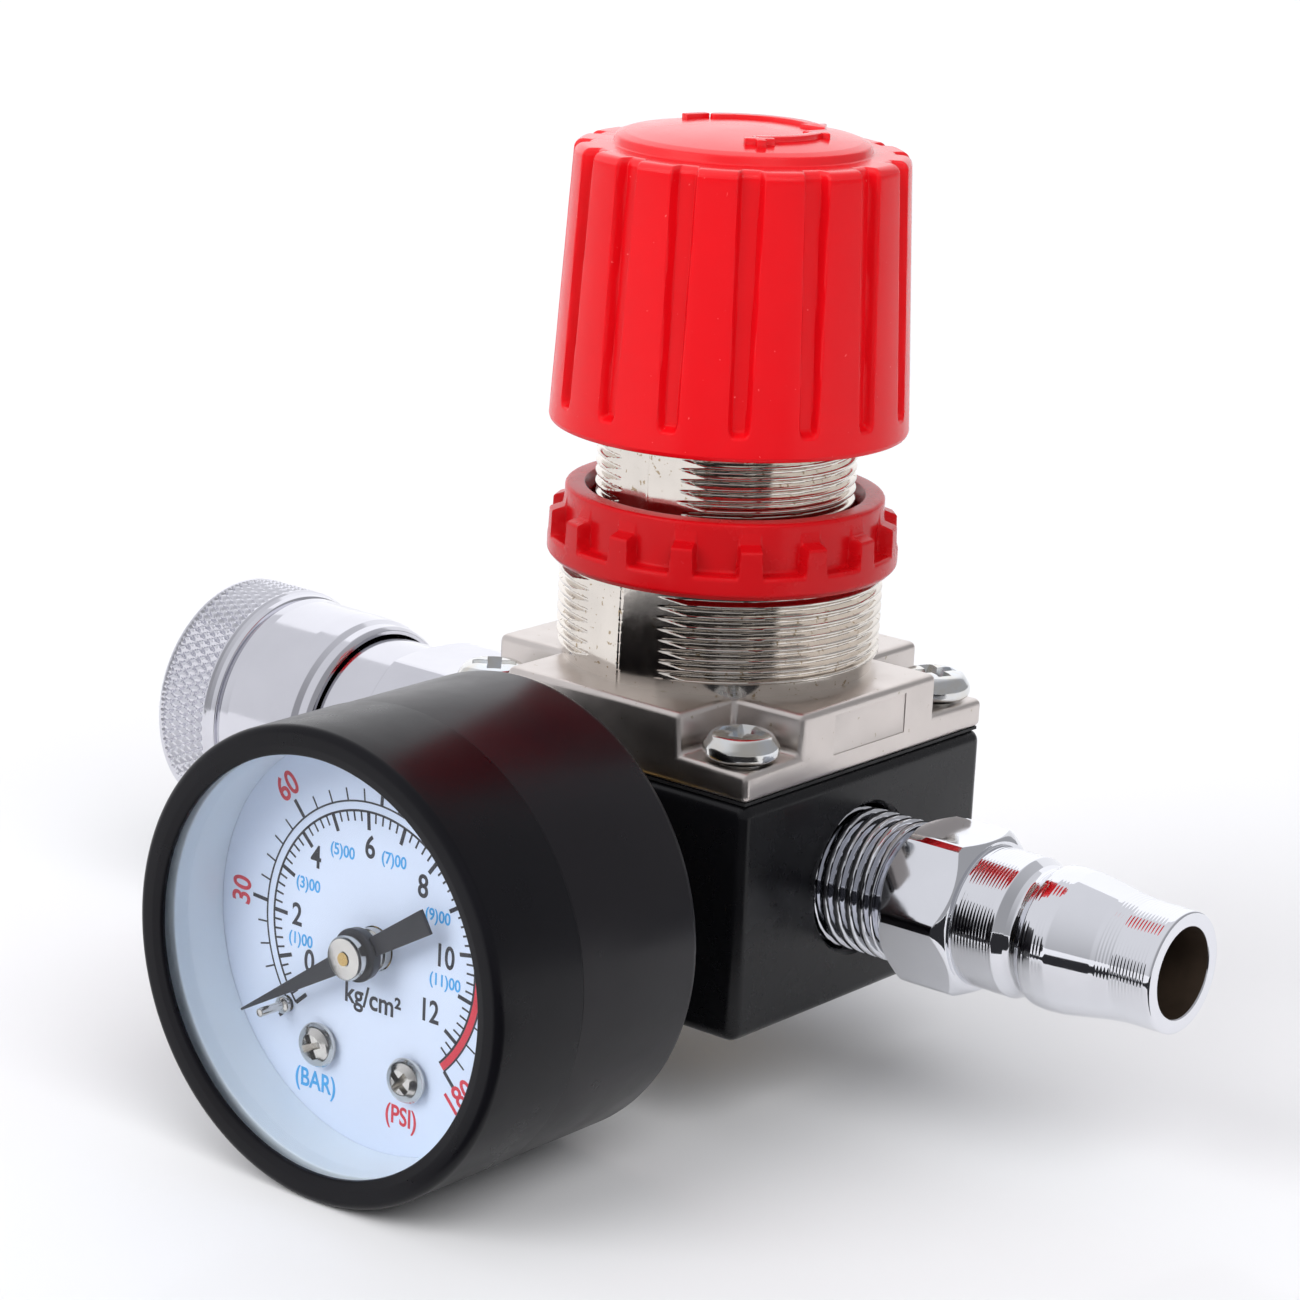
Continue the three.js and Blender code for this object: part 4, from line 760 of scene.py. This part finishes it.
# sleeve with a diamond-knurled grip at the mouth
KN = 72
th = around(KN * 8)
out1 = dense(fillet([(10.2, 42.35, 0.06), (10.55, 42.35, 0.1), (10.9, 42.8, 0.25), (10.95, 43.7, 0.2), (11.3, 44.3, 0.3), (11.45, 46.6, 3.0), (11.45, 52.5, 0.8), (11.62, 53.45, 0.1), (11.25, 53.55, 0.05), (11.25, 53.95, 0.05), (11.70, 54.05, 0.1), (11.78, 54.6, 0.1), (11.95, 55.0, 0.1), (12.1, 55.25, 0.1), (12.1, 55.3)], 5), 1.0)
kz = np.arange(55.3, 61.35, 0.115)
out2 = fillet([(12.1, 61.36), (12.1, 61.45, 0.05), (11.6, 62.0, 0.2), (10.7, 62.0, 0.15), (10.7, 59.6, 0.1), (10.1, 59.6, 0.1), (9.3, 56.0, 0.3), (9.3, 52.0, 0.1), (10.4, 52.0, 0.1), (10.4, 42.7, 0.1), (10.2, 42.6, 0.03)], 4)
hk = np.repeat(kz[None], len(th), 0)
u = KN * th[:, None] / TAU
v = (hk - 55.3) / 1.05
tri = lambda x: 1 - np.abs(2 * (x % 1.0) - 1)
kn = np.minimum(tri(u + v / 2), tri(u - v / 2))
fade = smooth((hk - 55.3) / 0.4) * smooth((61.35 - hk) / 0.4)
rk = 12.1 - 0.36 * fade * (1 - np.clip(kn * 1.5, 0, 1))
R = np.concatenate([rep(out1)[..., 0], rk, rep(out2)[..., 0]], 1)
Hh = np.concatenate([rep(out1)[..., 1], hk, rep(out2)[..., 1]], 1)
finish_piece(surface("coupler_sleeve_knurled", R, Hh, th, "-X", PORT), CHROME_S, "sleeve", "coupler_sleeve", sharp=30)
flattens = finish_piece(coil("sleeve_spring_coil", 9.72, 0.35, 43.8, 51.7, 4, "-X", PORT, per=60, sides=10), STEEL, "root", "sleeve_spring")
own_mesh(flattens)
o = turned("retaining_ring_turned", [(8.8, 60.25, 0.05), (10.1, 60.25, 0.12), (10.1, 60.75, 0.12), (8.8, 60.75, 0.05)], "-X", PORT, seg=120)
boolean(o, block("gap", -61.5, -59.5, -3.2, 3.2, -1, PORT_Z - 5))
finish_piece(o, STEEL, "root", "retaining_ring")
for i in range(4):
    a = i * math.pi / 2
    c = (-56.0, -7.5 * math.sin(a), PORT_Z + 7.5 * math.cos(a))
    prof = [(0, -1.5)] + [(1.5 * math.cos(t), 1.5 * math.sin(t)) for t in np.linspace(-math.pi / 2, math.pi / 2, 19)[1:-1]] + [(0, 1.5)]
    finish_piece(turned("locking_ball_%d_ground" % (i + 1), prof, "Z", c, seg=36), STEEL, "ball_%d" % (i + 1), "locking_ball_%d" % (i + 1), sharp=60)
finish_piece(turned("coupler_seal_moulded", [(5.6, 48.7, 0.5), (6.9, 48.7, 0.2), (6.9, 50.1, 0.2), (5.6, 50.1, 0.5)], "-X", PORT, seg=96), RUBBER, "root", "coupler_seal")
finish_piece(turned("coupler_valve_turned", [(0, 38.0), (2.6, 38.0, 0.3), (2.6, 44.2, 0.2), (6.6, 44.2, 0.3), (6.6, 46.7, 0.3), (4.4, 46.7, 0.3), (3.8, 48.2, 0.4), (0, 48.2)], "-X", PORT, seg=72), BRASS, "coupler_valve", "coupler_valve")
flattens = finish_piece(coil("coupler_valve_spring_coil", 4.6, 0.4, 31.9, 43.9, 5, "-X", PORT, per=44, sides=10), STEEL, "root", "coupler_valve_spring")
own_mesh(flattens)


# ------------------------------------------------------------------ gauge case, bezel, dial
finish_piece(turned("gauge_case_drawn", [(4.6, 27.1), (20.95, 27.1, 1.0), (20.95, 42.66, 0.07), (20.2, 42.66, 0.05), (20.2, 51.1, 0.1), (19.4, 51.1, 0.1), (19.4, 27.9, 0.8), (4.6, 27.9)], "-Y", GAUGE, seg=240, n=7),
             ENAMEL, "root", "gauge_case", sharp=35)
finish_piece(turned("gauge_bezel_spun", [(20.5, 42.71), (21.03, 42.71, 0.08), (21.02, 50.6, 6.0), (21.03, 53.34, 0.95), (19.3, 53.30, 1.2), (18.42, 53.12, 0.28), (18.4, 52.62, 0.05), (20.5, 52.62)], "-Y", GAUGE, seg=288, n=8),
             ENAMEL_F, "root", "gauge_bezel", sharp=40)
finish_piece(turned("dial_ring_moulded", [(18.45, 45.55), (19.1, 45.55), (19.15, 51.13), (19.95, 51.13), (19.95, 51.36), (18.55, 51.36, 0.15)], "-Y", GAUGE, seg=192), RINGW, "root", "dial_ring", sharp=35)
SCREW_L, SCREW_R, PIN = (-5.95, -10.35), (4.55, -10.65), (-10.3, -7.85)
DF = 45.5


def on_dial(x, z):
    return (x, 0.0, GAUGE_Z + z)


o = turned("dial_plate_stamped", [(0, DF - 0.6), (19.1, DF - 0.6), (19.1, DF, 0.08), (0, DF)], "-Y", GAUGE, seg=192)
for (x, z), r in (((0, 0), 2.0), (SCREW_L, 1.15), (SCREW_R, 1.15), (PIN, 0.75)):
    boolean(o, rod("h", r, 44, 47, "-Y", on_dial(x, z), seg=40))
finish_piece(o, DIAL, "root", "gauge_dial", sharp=35)


# ------------------------------------------------------------------ dial printing: scales and figures only
INK0, INK1 = DF + 0.004, DF + 0.03
PRINT = (-0.35, 0.25)                                    # the printing sits slightly off the pointer's axis


def flat_shapes(name, shapes, mat, lo=INK0, hi=INK1):
    """Thin printed shapes: each is a list of (x, z) seen from the dial side, anticlockwise."""
    verts, quads, tris = [], [], []
    for s in shapes:
        n, b = len(s), len(verts)
        s = [(x + PRINT[0], z + PRINT[1]) for x, z in s]
        verts += [(x, -lo, GAUGE_Z + z) for x, z in s] + [(x, -hi, GAUGE_Z + z) for x, z in s]
        quads += [(b + i, b + (i + 1) % n, b + n + (i + 1) % n, b + n + i) for i in range(n)]
        quads.append((b + n, b + n + 1, b + n + 2, b + n + 3))
        quads.append((b + 3, b + 2, b + 1, b + 0))
    o = mesh_object(name, verts, quads)
    return finish_piece(o, mat, "root", None, sharp=20)


def arc_shapes(r0, r1, a0, a1, step=1.5):
    n = max(1, int(math.ceil(abs(a1 - a0) / step)))
    out = []
    for i in range(n):
        p, q = math.radians(a0 + (a1 - a0) * i / n), math.radians(a0 + (a1 - a0) * (i + 1) / n)
        s = [(r0 * math.cos(p), r0 * math.sin(p)), (r1 * math.cos(p), r1 * math.sin(p)), (r1 * math.cos(q), r1 * math.sin(q)), (r0 * math.cos(q), r0 * math.sin(q))]
        out.append(s if a1 > a0 else s[::-1])
    return out


def tick(a, r0, r1, w):
    a = math.radians(a)
    c, s = math.cos(a), math.sin(a)
    return [(r * c - t * s, r * s + t * c) for r, t in ((r0, -w / 2), (r1, -w / 2), (r1, w / 2), (r0, w / 2))]


PSI = lambda v: 221.0 - 1.486 * v
KG = lambda v: 221.0 - 21.1 * v
A_END = PSI(180)
shapes = arc_shapes(12.52, 12.68, A_END, 221.0) + arc_shapes(11.66, 11.86, A_END, 221.0)
shapes += [tick(PSI(v), 12.6, 14.4, 0.34) for v in range(0, 181, 30)]
shapes += [tick(PSI(v), 12.6, 13.75, 0.15) for v in range(0, 181, 6) if v % 30]
shapes += [tick(KG(v), 10.15, 11.75, 0.36) for v in range(0, 13)]
shapes += [tick(KG(v / 5), 10.85, 11.75, 0.17) for v in range(0, 63) if v % 5]
flat_shapes("dial_scale_black", shapes, INK_K)
flat_shapes("dial_scale_red", arc_shapes(11.87, 12.51, A_END, KG(8.0)), INK_R)


def figures(name, items, mat):
    """Figures as (text, x, z, height, turn in degrees, squeeze), centred on their place."""
    parts = []
    for text, x, z, h, turn, squeeze in items:
        cu = bpy.data.curves.new("figure", "FONT")
        cu.body = text
        cu.align_x, cu.align_y = "CENTER", "CENTER"
        cu.size = 1.0
        cu.resolution_u = 5
        cu.fill_mode = "BOTH"
        cu.extrude = 0.013 * MM
        cu.offset = 0.016
        ob = bpy.data.objects.new("figure", cu)
        bpy.context.scene.collection.objects.link(ob)
        bpy.context.view_layer.update()
        me = bpy.data.meshes.new_from_object(ob.evaluated_get(bpy.context.evaluated_depsgraph_get()))
        co = np.zeros(len(me.vertices) * 3, np.float32)
        me.vertices.foreach_get("co", co)
        co = co.reshape(-1, 3).astype(float)
        digits = 0.73                                     # height of a figure in this font at size 1
        k = h / digits
        px, pz = co[:, 0] * k * squeeze, co[:, 1] * k
        a = math.radians(turn)
        u, v = px * math.cos(a) - pz * math.sin(a) + x, px * math.sin(a) + pz * math.cos(a) + z
        x0_, z0_ = PRINT
        u, v = u + x0_, v + z0_
        d = DF + 0.018 + co[:, 2] / MM
        me.vertices.foreach_set("co", (np.stack([u, -d, v + GAUGE_Z], 1) * MM).astype(np.float32).ravel())
        me.update()
        bpy.data.objects.remove(ob)
        bpy.data.curves.remove(cu)
        parts.append(me)
    import bmesh
    bm = bmesh.new()
    for me in parts:
        bm.from_mesh(me)
        bpy.data.meshes.remove(me)
    bmesh.ops.remove_doubles(bm, verts=bm.verts, dist=1e-7)
    bmesh.ops.recalc_face_normals(bm, faces=bm.faces)
    me = bpy.data.meshes.new(name)
    bm.to_mesh(me)
    bm.free()
    o = bpy.data.objects.new(name, me)
    bpy.context.scene.collection.objects.link(o)
    return finish_piece(o, mat, "root", None, sharp=20)


def radial(text, v, r, h, flip=False):
    a = PSI(v)
    return (text, r * math.cos(math.radians(a)), r * math.sin(math.radians(a)), h, a + 90 if flip else a - 90, 0.86)


figures("dial_figures_black", [("0", -7.4, -3.6, 2.1, 0, 0.86), ("2", -9.0, 0.3, 2.1, 0, 0.86), ("4", -6.9, 6.1, 2.1, 0, 0.86), ("6", -0.6, 8.55, 2.1, 0, 0.86), ("8", 5.6, 6.6, 2.1, 0, 0.86),
                               ("10", 8.3, 1.0, 2.1, 0, 0.80), ("12", 6.75, -4.3, 2.1, 0, 0.80), ("kg/cm²", 0.2, -5.1, 1.95, 0, 0.92)], INK_K)
figures("dial_figures_red", [radial("30", 30, 15.7, 2.2), radial("60", 60, 15.7, 2.2), radial("90", 90, 15.7, 2.2), radial("120", 120, 15.7, 2.2), radial("150", 150, 15.7, 2.2),
                             radial("180", 180, 15.3, 2.1, True), ("(PSI)", 3.9, -14.75, 1.75, 0, 0.84)], INK_R)
blue = [("(%d)00" % n, r * math.cos(math.radians(a)), r * math.sin(math.radians(a)), 1.1, 0, 0.90) for n, r, a in ((1, 8.7, 192), (3, 8.5, 156), (5, 8.4, 117), (7, 8.4, 75), (9, 8.6, 31), (11, 8.5, -8))]
figures("dial_figures_blue", blue + [("(BAR)", -6.3, -14.4, 1.75, 0, 0.84)], INK_B)

# ------------------------------------------------------------------ dial screws, stop pin, needle
for name, (x, z), turn in (("dial_screw_left", SCREW_L, 25), ("dial_screw_right", SCREW_R, 50)):
    f, c = DF + 0.3, on_dial(x, z)
    s = turned(name + "_turned", [(0, 43.9), (0.85, 43.9, 0.1), (0.85, f), (1.95, f, 0.12), (2.05, f + 0.4, 0.25), (1.78, f + 0.88, 0.5), (1.1, f + 1.2, 0.8), (0, f + 1.28)], "-Y", c, seg=72, n=6)
    for k in (0, 1):
        a = math.radians(turn + 90 * k)
        v = []
        for w, l, d in ((0.22, 0.75, f + 0.25), (0.34, 1.30, f + 1.6)):
            v += [(-l, -w, d), (l, -w, d), (l, w, d), (-l, w, d)]
        v = [(px * math.cos(a) - pz * math.sin(a) + x, -d, px * math.sin(a) + pz * math.cos(a) + c[2]) for px, pz, d in v]
        boolean(s, mesh_object("x", v, [(0, 3, 2, 1), (4, 5, 6, 7), (0, 1, 5, 4), (1, 2, 6, 5), (2, 3, 7, 6), (3, 0, 4, 7)]))
    finish_piece(s, SCREW, "root", name, sharp=38)
finish_piece(turned("pointer_stop_pin_turned", [(0, 43.9), (0.45, 43.9), (0.45, DF + 0.3), (0.8, DF + 0.3, 0.1), (0.8, DF + 0.75, 0.2), (0.4, DF + 0.9, 0.1), (0.4, 49.0, 0.12), (0, 49.0)], "-Y", on_dial(*PIN), seg=40),
             SCREW, "root", "pointer_stop_pin")

REST = math.radians(212.6)


def needle_frame(o):
    """Turns a piece drawn along +X on the gauge axis to where the needle rests."""
    me = o.data
    co = np.zeros(len(me.vertices) * 3, np.float32)
    me.vertices.foreach_get("co", co)
    co = co.reshape(-1, 3)
    x, z = co[:, 0].copy(), co[:, 2] - GAUGE_Z * MM
    co[:, 0] = x * math.cos(REST) - z * math.sin(REST)
    co[:, 2] = x * math.sin(REST) + z * math.cos(REST) + GAUGE_Z * MM
    me.vertices.foreach_set("co", co.ravel())
    me.update()
    return o


L, T = 16.2, 9.2
outl = [(-T, -1.13), (-2.0, -0.85), (2.0, -0.95), (L, -0.10), (L + 0.05, 0.0), (L, 0.10), (2.0, 0.95), (-2.0, 0.85), (-T, 1.13)]
blade = bevelled(prism("gauge_pointer_blade", outl, 47.52, 47.88, "XZ", GAUGE), 0.07, 2, 40)
hub = turned("hub", [(0, 47.2), (2.3, 47.2, 0.15), (2.40, 48.25, 0.2), (1.9, 48.3, 0.1), (0, 48.3)], "-Y", GAUGE, seg=96)
boolean(blade, hub, "UNION")
boolean(blade, rod("h", 0.9, 45, 50, "-Y", GAUGE))
needle_frame(blade)
finish_piece(blade, NEEDLE, "pointer", "gauge_pointer", sharp=35)
finish_piece(turned("pointer_hub_bush", [(0.9, 45.56), (1.93, 45.56, 0.1), (1.93, 46.3, 0.1), (1.7, 46.45, 0.1), (1.7, 47.15, 0.1), (0.9, 47.15)], "-Y", GAUGE, seg=64), SCREW, "pointer", "gauge_pointer")
finish_piece(turned("pointer_cap_turned", [(0.44, 48.32), (1.93, 48.32, 0.05), (1.98, 49.3, 0.08), (1.82, 49.52, 0.10), (0.75, 49.58, 0.1), (0.52, 49.54, 0.06), (0.44, 49.4)], "-Y", GAUGE, seg=96), SCREW, "pointer", "pointer_cap", sharp=38)

# ------------------------------------------------------------------ gauge socket: threaded stem, square, neck and inner block
th = around(144)
st = np.concatenate([[10.0, 10.5], np.arange(10.6, 20.6, 0.907 / 12), [20.7, 21.2]])
Hs = np.repeat(st[None], len(th), 0)
Rs = 4.31 + (thread(th[:, None], Hs, 4.86, 0.55, 0.907) - 4.31) * smooth((20.6 - Hs) / 0.5) * smooth((Hs - 10.3) / 0.6)
one = np.ones((len(th), 1))
Rs = np.concatenate([0 * one, Rs, 4.31 * one, 0 * one], 1)
Hs = np.concatenate([10.0 * one, Hs, 22.5 * one, 22.5 * one], 1)
o = surface("gauge_socket_machined", Rs, Hs, th, "-Y", GAUGE, ends="axis")
boolean(o, bevelled(prism("sq", [(-5.5, -5.5), (5.5, -5.5), (5.5, 5.5), (-5.5, 5.5)], 21.2, 26.8, "XZ", GAUGE), 0.35, 3), "UNION")
boolean(o, turned("nk", [(0, 25.0), (4.3, 25.0), (4.3, 29.0, 0.2), (0, 29.0)], "-Y", GAUGE, seg=96), "UNION")
boolean(o, bevelled(prism("b1", [(-3.2, -6.0), (3.2, -6.0), (3.2, 4.0), (-3.2, 4.0)], 28.2, 37.3, "XZ", GAUGE), 0.3, 2), "UNION")
boolean(o, bevelled(prism("b2", [(-3.15, -17.2), (2.6, -17.2), (2.6, -5.0), (-3.15, -5.0)], 28.3, 36.2, "XZ", GAUGE), 0.3, 2), "UNION")
boolean(o, rod("h", 1.4, 5, 34, "-Y", GAUGE, seg=48))
finish_piece(o, BRASS, "root", "gauge_socket", sharp=35)

# ------------------------------------------------------------------ CAD nodes that keep their shape get a worked surface
for node, mat in (("gauge_window", GLASS), ("pinion_arbor", BRASS), ("sector_gear", BRASS), ("movement_link", BRASS), ("movement_front_plate", BRASS), ("movement_back_plate", BRASS),
                  ("movement_pillar_1", BRASS), ("movement_pillar_2", BRASS), ("movement_pillar_3", BRASS), ("hairspring", SPRINGB), ("bourdon_tube", TUBEB)):
    ob = bpy.data.objects[node]
    for s in ob.material_slots:
        s.material = mat
    if not ob.material_slots:
        ob.data.materials.append(mat)

# ------------------------------------------------------------------ floor, camera, soft studio light
scene = bpy.context.scene
view = scene.view_settings
view.view_transform = "Standard"
view.look = "None"
view.exposure = 0.0
view.gamma = 1.0

az, el, ro = math.radians(38.80), math.radians(15.43), math.radians(2.752)
target = np.array([2.08, -13.90, 33.14])
back = np.array([math.sin(az) * math.cos(el), -math.cos(az) * math.cos(el), math.sin(el)])
pos = target + back * 355.0
right = np.cross(-back, [0, 0, 1])
right /= np.linalg.norm(right)
up = np.cross(right, -back)
r2, u2 = right * math.cos(ro) + up * math.sin(ro), -right * math.sin(ro) + up * math.cos(ro)
cam = bpy.data.cameras.new("camera")
cam.sensor_fit, cam.sensor_width, cam.lens = "HORIZONTAL", 36.0, 109.42
cam.shift_x, cam.shift_y = 0.00716, -0.00644
cam.clip_start, cam.clip_end = 0.02, 50.0
cam_ob = bpy.data.objects.new("camera", cam)
cam_ob.matrix_world = Matrix([[r2[i], u2[i], back[i], pos[i] * MM] for i in range(3)] + [[0, 0, 0, 1]])
scene.collection.objects.link(cam_ob)
scene.camera = cam_ob

world = bpy.data.worlds.new("studio")
scene.world = world
world.use_nodes = True
wt = world.node_tree
bg = wt.nodes["Background"]
bg.inputs["Color"].default_value = (0.955, 0.96, 1.0, 1)
# a pale studio that is brighter on its left side than on its right
wtc = wt.nodes.new("ShaderNodeTexCoord")
dot = wt.nodes.new("ShaderNodeVectorMath")
dot.operation = "DOT_PRODUCT"
dot.inputs[1].default_value = (-0.906, 0.0, 0.423)
wt.links.new(wtc.outputs["Generated"], dot.inputs[0])
wm = wt.nodes.new("ShaderNodeMapRange")
wm.interpolation_type = "SMOOTHSTEP"
wm.inputs["From Min"].default_value = -0.10
wm.inputs["From Max"].default_value = 0.65
wm.inputs["To Min"].default_value = 0.40
wm.inputs["To Max"].default_value = 0.84
wt.links.new(dot.outputs["Value"], wm.inputs["Value"])
wt.links.new(wm.outputs["Result"], bg.inputs["Strength"])


def stage_plane(name, corners, mat):
    me = bpy.data.meshes.new(name)
    me.from_pydata([tuple(c) for c in corners], [], [tuple(range(len(corners)))])
    me.materials.append(mat)
    ob = bpy.data.objects.new(name, me)
    scene.collection.objects.link(ob)
    return ob


FLOOR = material("pale_floor", (0.78, 0.78, 0.79), 0.65, shade=0.01, rvar=0.02, blotch=8, grain=600, grain_mm=0.002, spec=0.2)
fz = -9.82 * MM
stage_plane("floor", [(-3, -3, fz), (3, -3, fz), (3, 3, fz), (-3, 3, fz)], FLOOR)

# a pale wall far behind the floor, seen only by the camera in low views
WALL = bpy.data.materials.new("pale_wall")
WALL.use_nodes = True
nt = WALL.node_tree
nt.nodes.remove(nt.nodes["Principled BSDF"])
em = nt.nodes.new("ShaderNodeEmission")
em.inputs["Color"].default_value = (0.93, 0.93, 0.95, 1)
em.inputs["Strength"].default_value = 1.0
nt.links.new(em.outputs["Emission"], nt.nodes["Material Output"].inputs["Surface"])
ring = [(2.8 * math.cos(TAU * i / 48), 2.8 * math.sin(TAU * i / 48)) for i in range(48)]
me = bpy.data.meshes.new("pale_wall")
me.from_pydata([(x, y, fz - 0.002) for x, y in ring] + [(x, y, 2.4) for x, y in ring], [], [(i, (i + 1) % 48, 48 + (i + 1) % 48, 48 + i) for i in range(48)])
me.materials.append(WALL)
wall = bpy.data.objects.new("pale_wall", me)
scene.collection.objects.link(wall)
wall.visible_diffuse = wall.visible_glossy = wall.visible_transmission = wall.visible_shadow = False

# a dark card lying in front of the object, seen only in reflections
CARD = bpy.data.materials.new("dark_card")
CARD.use_nodes = True
nt = CARD.node_tree
nt.nodes.remove(nt.nodes["Principled BSDF"])
em = nt.nodes.new("ShaderNodeEmission")
em.inputs["Color"].default_value = (0.030, 0.030, 0.034, 1)
em.inputs["Strength"].default_value = 1.0
nt.links.new(em.outputs["Emission"], nt.nodes["Material Output"].inputs["Surface"])
fan = []
for r, sweep in ((62, np.linspace(2, 84, 22)), (900, np.linspace(78, 8, 22))):
    for a in sweep:
        a = math.radians(a)
        fan.append((r * math.sin(a) * MM, -r * math.cos(a) * MM, fz + 0.6 * MM))
card = stage_plane("dark_card", fan, CARD)
card.visible_camera = card.visible_diffuse = card.visible_shadow = card.visible_transmission = False


def softlight(name, az_, el_, strength, spread, color=(1, 1, 1)):
    """A far, wide studio light from one direction, so that the floor is lit evenly."""
    la = bpy.data.lights.new(name, "SUN")
    la.energy, la.angle, la.color = strength, math.radians(spread), color
    ob = bpy.data.objects.new(name, la)
    a, e = math.radians(az_), math.radians(el_)
    d = Vector((math.sin(a) * math.cos(e), -math.cos(a) * math.cos(e), math.sin(e)))
    ob.location = d * 1.0
    ob.rotation_euler = d.to_track_quat("Z", "Y").to_euler()
    scene.collection.objects.link(ob)
    return ob


softlight("key", -18, 34, 1.7, 40).visible_glossy = False
softlight("front", 62, 44, 1.62, 40).visible_glossy = False
softlight("back", 216, 17, 0.54, 80)

bpy.context.view_layer.update()
